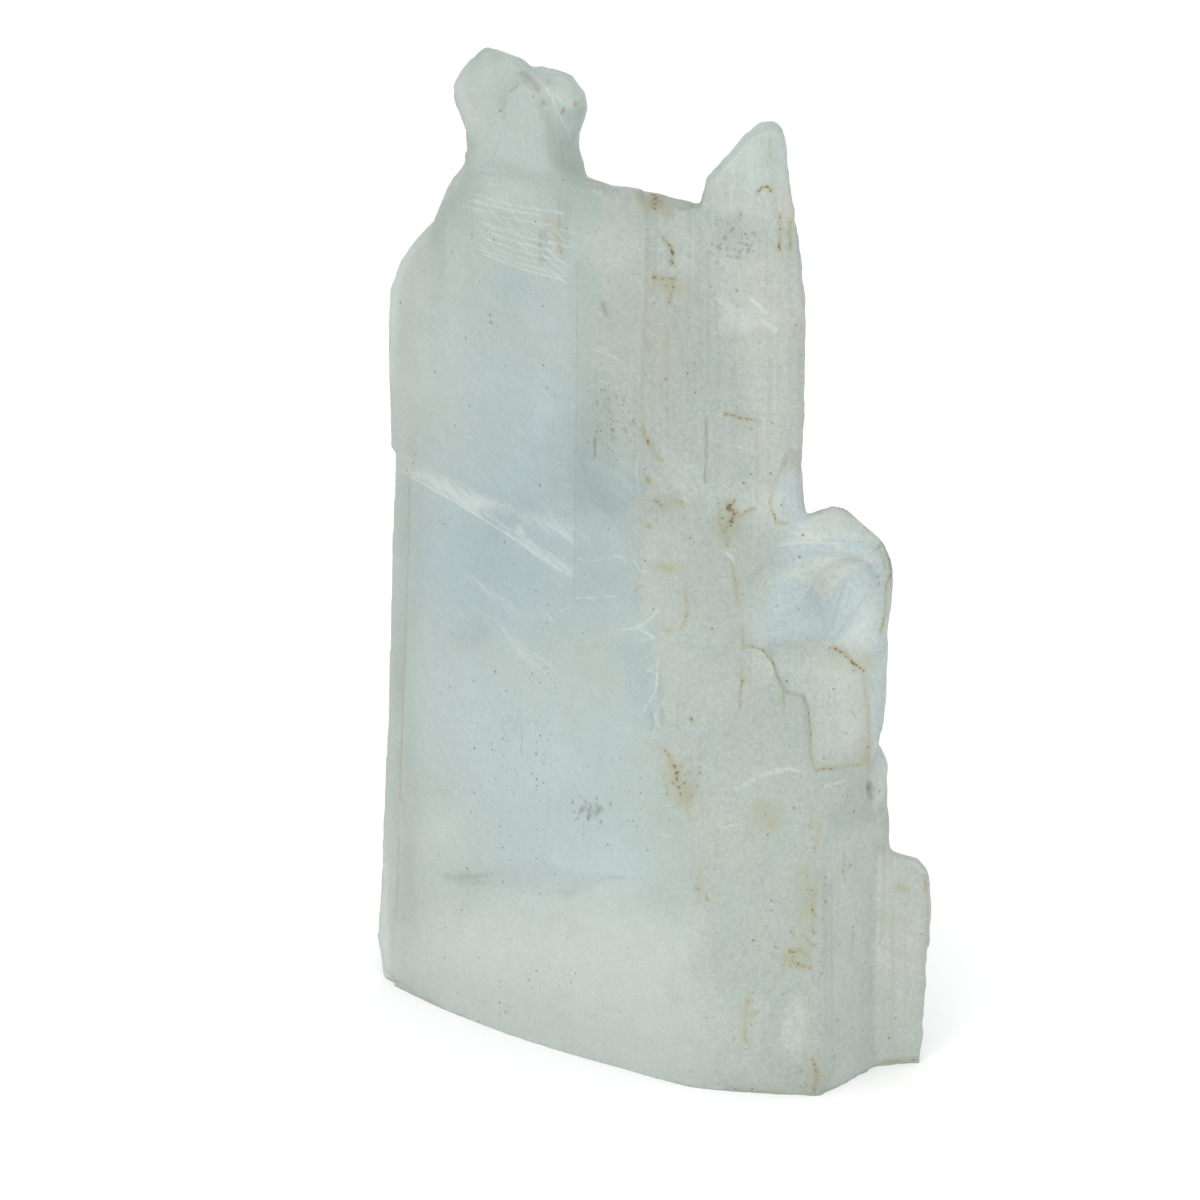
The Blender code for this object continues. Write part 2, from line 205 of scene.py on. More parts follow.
def ease(value, start, end):
    """0 before start, 1 after end, and an even curve in between."""
    share = np.clip((value - start) / (end - start), 0.0, 1.0)
    return share * share * (3.0 - 2.0 * share)


def ball_mask(points, centre, radii, soft=0.35):
    """1 inside an egg-shaped region, fading to 0 at its edge."""
    distance = np.linalg.norm((points - np.array(centre)) / np.array(radii), axis=1)
    return 1.0 - ease(distance, 1.0 - soft, 1.0)


PX_PER_SLOPE = LENS_MM / SENSOR_MM * FRAME_PX    # frame pixels for a sight line leaning by 1 in 1


def seen_at(points):
    """Where points appear in the frame: pixels across and down."""
    ray = points - np.array(eye)
    depth = -(ray @ np.array(toward))
    return (FRAME_PX / 2 + PX_PER_SLOPE * (ray @ np.array(right)) / depth,
            FRAME_PX / 2 - PX_PER_SLOPE * (ray @ np.array(above)) / depth)


def to_line(spot, path):
    """Distance in pixels from places in the frame to a path, and the side they lie on.

    The side is 1 above a path that runs to the right, -1 below it and 0 in line with it.
    """
    across, down = spot
    distance = np.full(len(across), 1e9)
    side = np.ones(len(across))
    for (x0, y0), (x1, y1) in zip(path[:-1], path[1:]):
        step_x, step_y = x1 - x0, y1 - y0
        length = math.hypot(step_x, step_y)
        share = ((across - x0) * step_x + (down - y0) * step_y) / length ** 2
        share = np.clip(share, 0.0, 1.0)
        gap = np.hypot(across - x0 - share * step_x, down - y0 - share * step_y)
        closer = gap < distance
        turned = step_y * (across - x0) - step_x * (down - y0)
        off_line = np.clip(turned / (length * np.maximum(gap, 1e-6)), -1.0, 1.0)
        side = np.where(closer, off_line, side)
        distance = np.where(closer, gap, distance)
    return distance, side


def inside(spot, outline, soft):
    """A ramp from 0 to 1 across an outline in the frame, one half on the outline itself."""
    across, down = spot
    loop = list(outline) + [outline[0]]
    distance = to_line(spot, loop)[0]
    crossings = np.zeros(len(across), int)
    for (x0, y0), (x1, y1) in zip(loop[:-1], loop[1:]):
        if y0 != y1:
            spans = (y0 > down) != (y1 > down)
            crossings += spans & (across < x0 + (down - y0) * (x1 - x0) / (y1 - y0))
    signed = np.where(crossings % 2 == 1, distance, -distance)
    return np.clip(0.5 + signed / (2.0 * soft), 0.0, 1.0)


def oval(spot, centre, radii, soft=0.6):
    """A ramp from 1 to 0 towards the rim of an oval; `soft` is the ramp's share of the radius."""
    across, down = spot
    distance = np.hypot((across - centre[0]) / radii[0], (down - centre[1]) / radii[1])
    return np.clip((1.0 - distance) / soft, 0.0, 1.0)


# %% [markdown]
# ## Grain
#
# All fine relief is made from one thing: smooth random values on a grid, here called grain. Long
# thin cells of grain stood upright give growth lines, small even cells give a frosted surface,
# and large ones bend what was too straight.

# %% Grain
TABLE_SIZE = 65536          # how many random values there are, a power of two
CELL_MIX = np.array((73856093, 19349663, 83492791))   # large primes that give each cell its number
SEED_SHIFT = 17.31          # cells between one seed and the next


def grain(points, cell, seed):
    """Smooth random values from -1 to 1 that change over one cell, which may be a long one."""
    spot = points / np.broadcast_to(np.array(cell, float), 3) + seed * SEED_SHIFT
    base = np.floor(spot).astype(np.int64)
    share = spot - base
    share = share * share * (3.0 - 2.0 * share)
    table = np.random.default_rng(seed).uniform(-1.0, 1.0, TABLE_SIZE)
    total = np.zeros(len(points))
    for corner in range(8):
        step = np.array((corner & 1, corner >> 1 & 1, corner >> 2 & 1))
        number = (base + step) @ CELL_MIX
        weight = np.prod(np.where(step, share, 1.0 - share), axis=1)
        total += table[number & (TABLE_SIZE - 1)] * weight
    return total


def grain3(points, cell, seed):
    """Three grains side by side, to push points in any direction."""
    return np.stack([grain(points, cell, seed + axis) for axis in range(3)], axis=1)


# %% [markdown]
# ## Softer steps
#
# A sheet that has flaked off leaves a step of a few tenths of a millimetre on a real crystal. The
# solid has such steps thicker, so that they are real forms. Here the sunk strip right of the broad
# face and the window in the flank are drawn together towards the faces beside them.

# %% Draw the steps together
FACE = -23.87           # how far forward the broad face is, in millimetres
STRIP_STEP = 1.5        # how deep the sunk strip lies in the solid
STRIP_KEPT = 0.08       # the share of that step that stays
FLANK_POINT = np.array((20.2, -20.9))   # a point of the flank's plane, seen from above
FLANK_TURN = math.radians(40.0)         # how far the flank is turned from the broad face
FLANK_LEVEL = 0.6       # the middle of the flank's ribs and window, out from its plane
FLANK_KEPT = 0.3        # the share of their height that stays


def on_flank_plane(points):
    """How far points lie along the flank, and out in front of it."""
    from_point = points[:, :2] - FLANK_POINT
    along = from_point @ np.array((math.cos(FLANK_TURN), math.sin(FLANK_TURN)))
    out = from_point @ np.array((math.sin(FLANK_TURN), -math.cos(FLANK_TURN)))
    return along, out


points = points_of(mesh)
strip = ease(points[:, 0], -1.5, 2.5) * (1.0 - ease(points[:, 0], 18.0, 21.0))
strip *= ease(points[:, 2], 99.0, 103.0)
behind = points[:, 1] - FACE
forward = np.minimum(behind, STRIP_STEP) * (1.0 - ease(behind, STRIP_STEP, 9.0))
points[:, 1] -= np.where(behind > 0.0, (1.0 - STRIP_KEPT) * strip * forward, 0.0)

along, out = on_flank_plane(points)
ribs = ease(along, -2.0, 0.5) * (1.0 - ease(along, 27.0, 30.0)) * ease(points[:, 2], 118.0, 124.0)
ribs *= 1.0 - ease(points[:, 2], 183.0, 190.0)
off_level = out - FLANK_LEVEL
pull = off_level * (1.0 - ease(np.abs(off_level), 1.6, 5.0)) * (1.0 - FLANK_KEPT) * ribs
points[:, 0] -= pull * math.sin(FLANK_TURN)
points[:, 1] += pull * math.cos(FLANK_TURN)
set_points(mesh, points)
drawn = int((strip * (behind < 2.0) > 0.5).sum())
print("drew", drawn, "strip and", int((ribs > 0.5).sum()), "flank points together")

# %% [markdown]
# ### Steps that have grown over
#
# Where the solid's blocks meet in a step, the crystal has one uneven surface. A sculptor would
# hold the smooth brush on such a place. Here the depth of the surface along the line of sight is
# averaged over small squares of the frame, blurred, and given back to the points. They slide
# along the line of sight only, so the outline stays, and a second wrap cleans what was folded.

# %% Grow over the steps
CELL_PX = 4             # the side of a square, in pixels
STEP_DEPTH = 6.0        # how far behind the nearest point a square may still see, in millimetres


def blurred(table, rounds):
    """A table blurred by weighing each number with those beside it, a few times over."""
    for _ in range(rounds):
        wide = np.pad(table, 1)
        table = (wide[:-2, 1:-1] + 2.0 * wide[1:-1, 1:-1] + wide[2:, 1:-1]) / 4.0
        wide = np.pad(table, 1)
        table = (wide[1:-1, :-2] + 2.0 * wide[1:-1, 1:-1] + wide[1:-1, 2:]) / 4.0
    return table


def even_depth(points, shown, blur_px):
    """How far each point is behind the blurred surface that the camera sees, in millimetres."""
    across, down = seen_at(points)
    depth = (np.array(eye) - points) @ np.array(toward)
    size = FRAME_PX // CELL_PX
    row = np.clip((down / CELL_PX).astype(int), 0, size - 1)
    column = np.clip((across / CELL_PX).astype(int), 0, size - 1)
    nearest = np.full((size, size), 1e9)
    np.minimum.at(nearest, (row[shown], column[shown]), depth[shown])
    front = shown & (depth < nearest[row, column] + STEP_DEPTH)
    total, count = np.zeros((size, size)), np.zeros((size, size))
    np.add.at(total, (row[front], column[front]), depth[front])
    np.add.at(count, (row[front], column[front]), 1.0)
    rounds = round(2.0 * (blur_px / CELL_PX) ** 2)
    filled = blurred((count > 0).astype(float), rounds)
    level = blurred(total / np.maximum(count, 1.0), rounds) / np.maximum(filled, 1e-6)
    left, top = across / CELL_PX - 0.5, down / CELL_PX - 0.5
    column = np.clip(np.floor(left).astype(int), 0, size - 2)
    row = np.clip(np.floor(top).astype(int), 0, size - 2)
    beside, below = np.clip(left - column, 0.0, 1.0), np.clip(top - row, 0.0, 1.0)
    upper = level[row, column] * (1.0 - beside) + level[row, column + 1] * beside
    lower = level[row + 1, column] * (1.0 - beside) + level[row + 1, column + 1] * beside
    return depth - (upper * (1.0 - below) + lower * below)


# name: (blur in pixels, share of the step that goes, outline, softness in pixels)
grown_over = {
    "flank to terrace": (16, 1.0, [(648, 380), (690, 390), (768, 480), (792, 505), (800, 545),
                                   (772, 575), (748, 612), (744, 690), (690, 700), (652, 660),
                                   (646, 560)], 14),
    "window": (12, 0.8, [(696, 396), (770, 396), (770, 520), (696, 520)], 10),
    "terrace to block": (16, 0.9, [(664, 720), (742, 700), (790, 745), (840, 752), (860, 775),
                                   (800, 810), (720, 850), (676, 830)], 14),
    "neck": (12, 0.9, [(476, 118), (556, 118), (570, 196), (476, 200)], 12),
}
points = points_of(mesh)
normals = normals_of(mesh)
facing = normals @ np.array(toward)
for blur_px, share, outline, soft in grown_over.values():
    behind_level = even_depth(points, facing > 0.0, blur_px)
    mask = share * inside(seen_at(points), outline, soft) * ease(facing, -0.35, -0.05)
    mask *= np.abs(behind_level) < STEP_DEPTH
    points += np.array(toward) * (behind_level * mask)[:, None]
    furthest = round(float(np.abs(behind_level * mask).max()), 2)
    print("moved", int((mask > 0.5).sum()), "points, up to", furthest, "mm")
set_points(mesh, points)
mesh = wrapped(crystal)

# %% [markdown]
# ### Worn joints and glassy lumps
#
# Where two blocks of the crystal have grown into each other, the joint is a shallow valley and not
# a cliff. A Smooth modifier with a vertex group wears only those joints down. The same tool, with
# fewer steps, rounds the knob and the bulge, which broke like glass. The sheets on the back are
# worn in patches, so some of their edges are still sharp and others have nearly gone.

# %% Wear the joints
WEIGHT_LEVELS = np.linspace(0.05, 1.0, 20)
HALF_LEVEL = 0.026      # a little over half the gap between two levels
SMOOTHING = 0.6         # how far one step moves a point of full weight
WEAR_STEPS = 90
ROUNDING_STEPS = 22
LEAST_ROUNDING = 0.15   # what the plain faces get of it


def smooth_by(thing, weights, steps):
    """Smooth a mesh in a number of steps, by a weight for each point, rounded to a few levels."""
    group = thing.vertex_groups.new(name="worn")
    for level in WEIGHT_LEVELS:
        chosen = np.flatnonzero(np.abs(weights - level) <= HALF_LEVEL)
        if len(chosen):
            group.add(chosen.tolist(), float(level), "REPLACE")
    worn = thing.modifiers.new("worn", "SMOOTH")
    worn.factor = SMOOTHING
    worn.iterations = steps
    worn.vertex_group = group.name
    thing.data = finished_mesh(thing)
    thing.modifiers.clear()
    thing.vertex_groups.clear()
    return thing.data


# name: (reach in pixels, how much, path)
joints = {
    "flank_and_terrace": (44, 1.0, [(655, 425), (668, 455), (700, 492), (722, 512), (738, 540),
                                    (746, 580)]),
    "terrace_spike": (30, 1.0, [(650, 425), (660, 470), (662, 540), (660, 610)]),
    "window_foot": (36, 1.0, [(725, 500), (760, 512), (790, 528)]),
    "under_the_flank": (34, 1.0, [(735, 535), (770, 545), (800, 540)]),
    "block_and_terrace": (30, 1.0, [(672, 760), (690, 800), (698, 818), (712, 800), (735, 785)]),
    "block_and_recess": (18, 0.8, [(735, 785), (770, 770), (812, 768), (868, 772)]),
    "terrace_and_recess": (14, 0.8, [(742, 590), (744, 650), (742, 720)]),
    "plate_foot": (14, 0.8, [(748, 634), (772, 642), (800, 644), (826, 640)]),
    "neck_left": (20, 1.0, [(504, 90), (500, 120), (494, 160), (466, 182)]),
    "neck_foot": (22, 1.0, [(452, 190), (480, 176), (510, 170), (545, 180), (580, 186)]),
    "neck_right": (14, 1.0, [(545, 96), (560, 130), (575, 180)]),
    "window_frame": (10, 0.8, [(706, 490), (706, 415), (757, 421), (757, 500)]),
}
points = points_of(mesh)
normals = normals_of(mesh)
spot = seen_at(points)
in_view = ease(normals @ np.array(toward), -0.2, 0.1)
worn = np.zeros(len(points))
for reach, amount, path in joints.values():
    distance = to_line(spot, path)[0]
    worn = np.maximum(worn, amount * in_view * (1.0 - ease(distance, 0.4 * reach, reach)))
patchy = 0.30 + 0.70 * ease(grain(points, 22.0, 90), -0.35, 0.25)
behind = ease(normals[:, 1], -0.2, 0.3) * ease(points[:, 1], 0.0, 6.0)
behind *= ease(points[:, 2], 8.0, 20.0)
mesh = smooth_by(crystal, np.maximum(worn, behind * patchy), WEAR_STEPS)
print("worn", int((worn > 0.5).sum()), "points of the joints")

# %% [markdown]
# The lumps are found by their places: the knob is what stands left of the spire above the neck,
# and the bulge is an egg-shaped region halfway up the right side.

# %% Round the lumps
BULGE = (55.0, 0.0, 109.0)      # the middle of the bulge, in millimetres
BULGE_RADII = (17.0, 20.0, 18.0)
BULGE_ROUNDED = (18.0, 20.0, 20.0)      # a little wider, where it is rounded off


def knob_part(points, start, end):
    """1 on the knob, fading in between two heights."""
    return ease(points[:, 2], start, end) * (1.0 - ease(points[:, 0], 2.0, 8.0))


points = points_of(mesh)
knob_mask = knob_part(points, 190.0, 196.0)
bulge_mask = ball_mask(points, BULGE, BULGE_ROUNDED)
shoulder_mask = ball_mask(points, (47.0, -10.0, 66.0), (18.0, 20.0, 15.0))
spire_mask = ease(points[:, 2], 190.0, 198.0) * ease(points[:, 0], 18.0, 24.0)
flank_mask = ease(points[:, 0], 15.0, 20.0) * ease(points[:, 2], 112.0, 122.0)
terrace_mask = ease(points[:, 0], 22.0, 26.0) * (1.0 - ease(points[:, 2], 128.0, 136.0))
rounding = np.clip(knob_mask + bulge_mask + shoulder_mask + 0.7 * spire_mask, 0.0, 1.0)
rounding = np.maximum(rounding, np.maximum(0.45 * flank_mask, 0.35 * terrace_mask))
mesh = smooth_by(crystal, np.maximum(rounding, LEAST_ROUNDING), ROUNDING_STEPS)
print("rounded", int((rounding > 0.5).sum()), "points")

# %% [markdown]
# ## Shells of a glassy break
#
# Where the bulge snapped, the break runs in shells: low ledges that fan out from one point. Each
# ledge is a path in the frame. Points above it are raised and points below it sunk, most at its
# reach and less beyond, so it reads as one broad plane tilted against the next.

# %% Ledges
LEDGE_END = 6.0         # where a ledge ends, in reaches from its path

# name: (raise above, sink below, both in millimetres, reach above, reach below in pixels, path)
ledges = {
    "crest_shelf": (0.35, 0.35, 10, 14, [(778, 549), (798, 543), (820, 543), (842, 548)]),
    "crest_fold": (0.30, 0.25, 9, 8, [(796, 530), (822, 520), (846, 524), (864, 536)]),
    "middle_shelf": (0.35, 0.45, 10, 16, [(790, 576), (808, 568), (832, 558), (852, 556),
                                          (876, 553)]),
    "right_shelf": (0.20, 0.35, 8, 14, [(838, 576), (856, 566), (880, 562)]),
    "lobe": (-0.50, -0.55, 12, 20, [(836, 616), (850, 602), (866, 592), (884, 590)]),
    "plate_fold": (0.25, 0.25, 14, 16, [(762, 640), (782, 618), (806, 612), (824, 622)]),
    "recess_fold": (0.22, 0.26, 10, 12, [(814, 672), (826, 664), (842, 676), (850, 700)]),
    "knob_left_fold": (0.30, 0.30, 12, 14, [(456, 96), (474, 106), (490, 100), (504, 84)]),
    "knob_right_fold": (0.28, 0.28, 10, 12, [(545, 84), (556, 104), (572, 112), (584, 106)]),
    "knob_seam": (0.28, 0.22, 10, 8, [(514, 58), (530, 72), (545, 86), (556, 108), (572, 137)]),
    "neck_fold": (0.15, 0.15, 12, 12, [(503, 128), (500, 140), (492, 164)]),
    "shoulder_ledge": (0.40, 0.40, 12, 18, [(732, 800), (752, 782), (784, 771), (810, 775),
                                            (850, 782)]),
    "shoulder_fold": (0.25, 0.25, 12, 14, [(712, 842), (742, 818), (780, 806), (806, 822)]),
    "pale_facet": (0.35, 0.35, 8, 14, [(768, 1030), (780, 994), (800, 984), (810, 1000)]),
    "foot_chip": (0.35, 0.40, 10, 14, [(676, 1044), (692, 1022), (706, 1014)]),
    "terrace_arc": (0.22, 0.25, 8, 12, [(688, 600), (704, 586), (728, 588)]),
    "flank_fold": (0.25, 0.25, 10, 14, [(700, 300), (732, 304), (776, 330)]),
    "spire_fold": (0.30, 0.30, 10, 14, [(716, 196), (740, 176), (768, 160)]),
}
points = points_of(mesh)
normals = normals_of(mesh)
in_view = ease(normals @ np.array(toward), 0.0, 0.25)
spot = seen_at(points + 0.5 * grain3(points, 3.0, 60))
rise = np.zeros(len(points))
for lift, sink, reach_up, reach_down, path in ledges.values():
    distance, side = to_line(spot, path)
    far = distance / np.where(side > 0, reach_up, reach_down)
    rise += side * np.where(side > 0, lift, sink) * far * np.exp(1.0 - far) * (far < LEDGE_END)
points += normals * (rise * in_view)[:, None]
set_points(mesh, points)
print(len(ledges), "ledges, up to", round(float(np.abs(rise).max()), 2), "mm")

# %% [markdown]
# ## Growth lines and frost
#
# Moving the points, and not only shading them, makes the relief catch the light and show at the
# outline. Growth lines stand on every oblique face. The right side is frosted by water. The left
# edge and the base broke clean, so they are hardly bent at all.

# %% Fine relief
FLAT_BELOW = 0.35       # points lower than this lie flat on the floor, in millimetres


def upright_part(normals):
    """1 where the surface stands upright, 0 where it lies more level."""
    return 1.0 - ease(np.abs(normals[:, 2]), 0.35, 0.7)


def front_part(normals):
    """1 on the broad face and all that faces the same way."""
    return ease(-normals[:, 1], 0.82, 0.92)


points = points_of(mesh)
normals = normals_of(mesh)
upright = upright_part(normals)
facing_front = front_part(normals)
facing_back = ease(normals[:, 1], 0.90, 0.97)
oblique = upright * (1.0 - facing_front) * (1.0 - facing_back)
bulge_mask = ball_mask(points, BULGE, BULGE_RADII)
knob_mask = knob_part(points, 194.0, 199.0)
glassy = np.clip(bulge_mask + knob_mask, 0.0, 1.0)
flank_mask = ease(points[:, 0], 15.0, 20.0) * ease(points[:, 2], 118.0, 132.0)
side_mask = ease(points[:, 0], 50.0, 56.0) * (1.0 - ease(points[:, 2], 66.0, 74.0))
matt = np.clip(ease(points[:, 0], 20.0, 25.0) * (1.0 - glassy), 0.0, 1.0)
left_edge = 1.0 - ease(points[:, 0], -50.0, -38.0)

lines = 0.60 * grain(points, (1.3, 1.3, 60.0), 1) + 0.45 * grain(points, (0.9, 0.9, 30.0), 2)
lines += 0.60 * np.minimum(0.0, grain(points, (2.2, 2.2, 45.0), 3) + 0.5)
relief = oblique * (0.03 + 0.06 * flank_mask + 0.04 * side_mask) * (1.0 - glassy) * lines
relief += matt * (0.07 * grain(points, 0.9, 4) + 0.14 * grain(points, 2.4, 5))
broad_waves = 0.10 * grain(points, (16.0, 16.0, 60.0), 6)
relief += facing_front * (broad_waves + 0.02 * grain(points, (2.0, 2.0, 14.0), 7))
back_waves = 0.22 * grain(points, (6.0, 6.0, 40.0), 8)
relief += facing_back * (back_waves + 0.10 * grain(points, 3.0, 9))
points += normals * relief[:, None]

off_the_faces = ((1.0 - facing_front) * (1.0 - facing_back))[:, None]
bend = (0.35 + 0.65 * off_the_faces) * 0.50 * grain3(points, 9.0, 10)
bend += off_the_faces * (0.16 * grain3(points, 2.6, 14) + 0.05 * grain3(points, 1.0, 18))
bend *= (1.0 - 0.75 * left_edge)[:, None]
bend[:, 2] *= ease(points[:, 2], 0.5, 12.0)
points += bend
points[:, 2] = np.where(points[:, 2] < FLAT_BELOW, 0.0, points[:, 2])
set_points(mesh, points)
print("relief from", round(float(relief.min()), 2), "to", round(float(relief.max()), 2), "mm")

# %% [markdown]
# ## Fewer triangles where the surface is plain
#
# The wrap has far more points than a library part should carry. Decimate joins those that add
# no shape, so flat cleaved faces get large triangles and the lines and shells keep small ones.

# %% Thin the mesh
MOST_TRIANGLES = 72000      # before the cuts under the marks add theirs

thin = crystal.modifiers.new("thin", "DECIMATE")
thin.ratio = min(1.0, MOST_TRIANGLES / (2.0 * len(mesh.polygons)))
crystal.data = finished_mesh(crystal)
crystal.modifiers.clear()
mesh = crystal.data
print("thinned to", len(mesh.polygons), "faces")

# %% [markdown]
# ## Marks, laid out as seen
#
# A real crystal carries a map of small events: cracks that shine white, rust that seeped into
# edges, and clay that settled in hollows. The white and the dark marks also paint some highlights
# and some shade. Each one is named below with its path in the frame. A ray is sent through each
# point of a path until it meets the crystal, so every mark lies on the surface and stays there
# from any side.

# %% From the frame to the surface
def surface_tree(mesh):
    """A tree of the mesh, in millimetres, that rays can be tested against."""
    spots = points_of(mesh)
    faces = [tuple(face.vertices) for face in mesh.polygons]
    return BVHTree.FromPolygons([Vector(spot) for spot in spots], faces)


tree = surface_tree(mesh)
MISSED_SHIFTS = range(-80, 81, 10)      # where a missing ray is held against the crystal, in mm
TRAIL_STEP = 6.0                        # pixels between two points of a trail


def touch(across, down):
    """The point of the crystal seen at a place in the frame, or the nearest if the ray misses."""
    turn_right = (across - FRAME_PX / 2) / PX_PER_SLOPE
    turn_down = (down - FRAME_PX / 2) / PX_PER_SLOPE
    ray = (right * turn_right - above * turn_down - toward).normalized()
    spot = tree.ray_cast(eye, ray)[0]
    if spot is None:
        beside = [tree.find_nearest(eye + ray * (DISTANCE_MM + shift)) for shift in MISSED_SHIFTS]
        spot = min(beside, key=lambda found: found[3])[0]
    return np.array(spot)


def trail(path):
    """A path of frame points, set on the surface every few pixels."""
    spots = [touch(*path[0])]
    for start, end in zip(path[:-1], path[1:]):
        pieces = max(1, round(math.dist(start, end) / TRAIL_STEP))
        for piece in range(1, pieces + 1):
            share = piece / pieces
            across = start[0] + (end[0] - start[0]) * share
            down = start[1] + (end[1] - start[1]) * share
            spots.append(touch(across, down))
    return np.array(spots)


def distance_to(points, spots, near):
    """How far each point is from a trail, up to the distance `near`."""
    far = np.full(len(points), float(near))
    in_box = (points > spots.min(0) - near) & (points < spots.max(0) + near)
    close = np.flatnonzero(in_box.all(axis=1))
    if len(close) == 0:
        return far
    part = points[close]
    best = np.full(len(close), float(near))
    starts = spots[:-1] if len(spots) > 1 else spots
    ends = spots[1:] if len(spots) > 1 else spots
    for start, end in zip(starts, ends):
        step = end - start
        share = np.clip((part - start) @ step / max(step @ step, 1e-9), 0.0, 1.0)
        best = np.minimum(best, np.linalg.norm(part - start - share[:, None] * step, axis=1))
    far[close] = best
    return far


# %% [markdown]
# ### White cracks and painted highlights
#
# Where the crystal has cracked inside along a flat sheet, the crack holds air and shines white.
# The boldest one runs down across the broad face and ends in a fan of fine lines. The bundle near
# the top is made in a loop, because its lines are alike and only their length and place change.
# The same white also paints highlights: glints, the lit planes of the bulge and the lit top of
# the ledge over the block.

# %% White cracks
chance = np.random.default_rng(4)
BUNDLE_LINES = 22       # in the bundle near the top
RAGGED_LINES = 26       # down the broad face's right edge

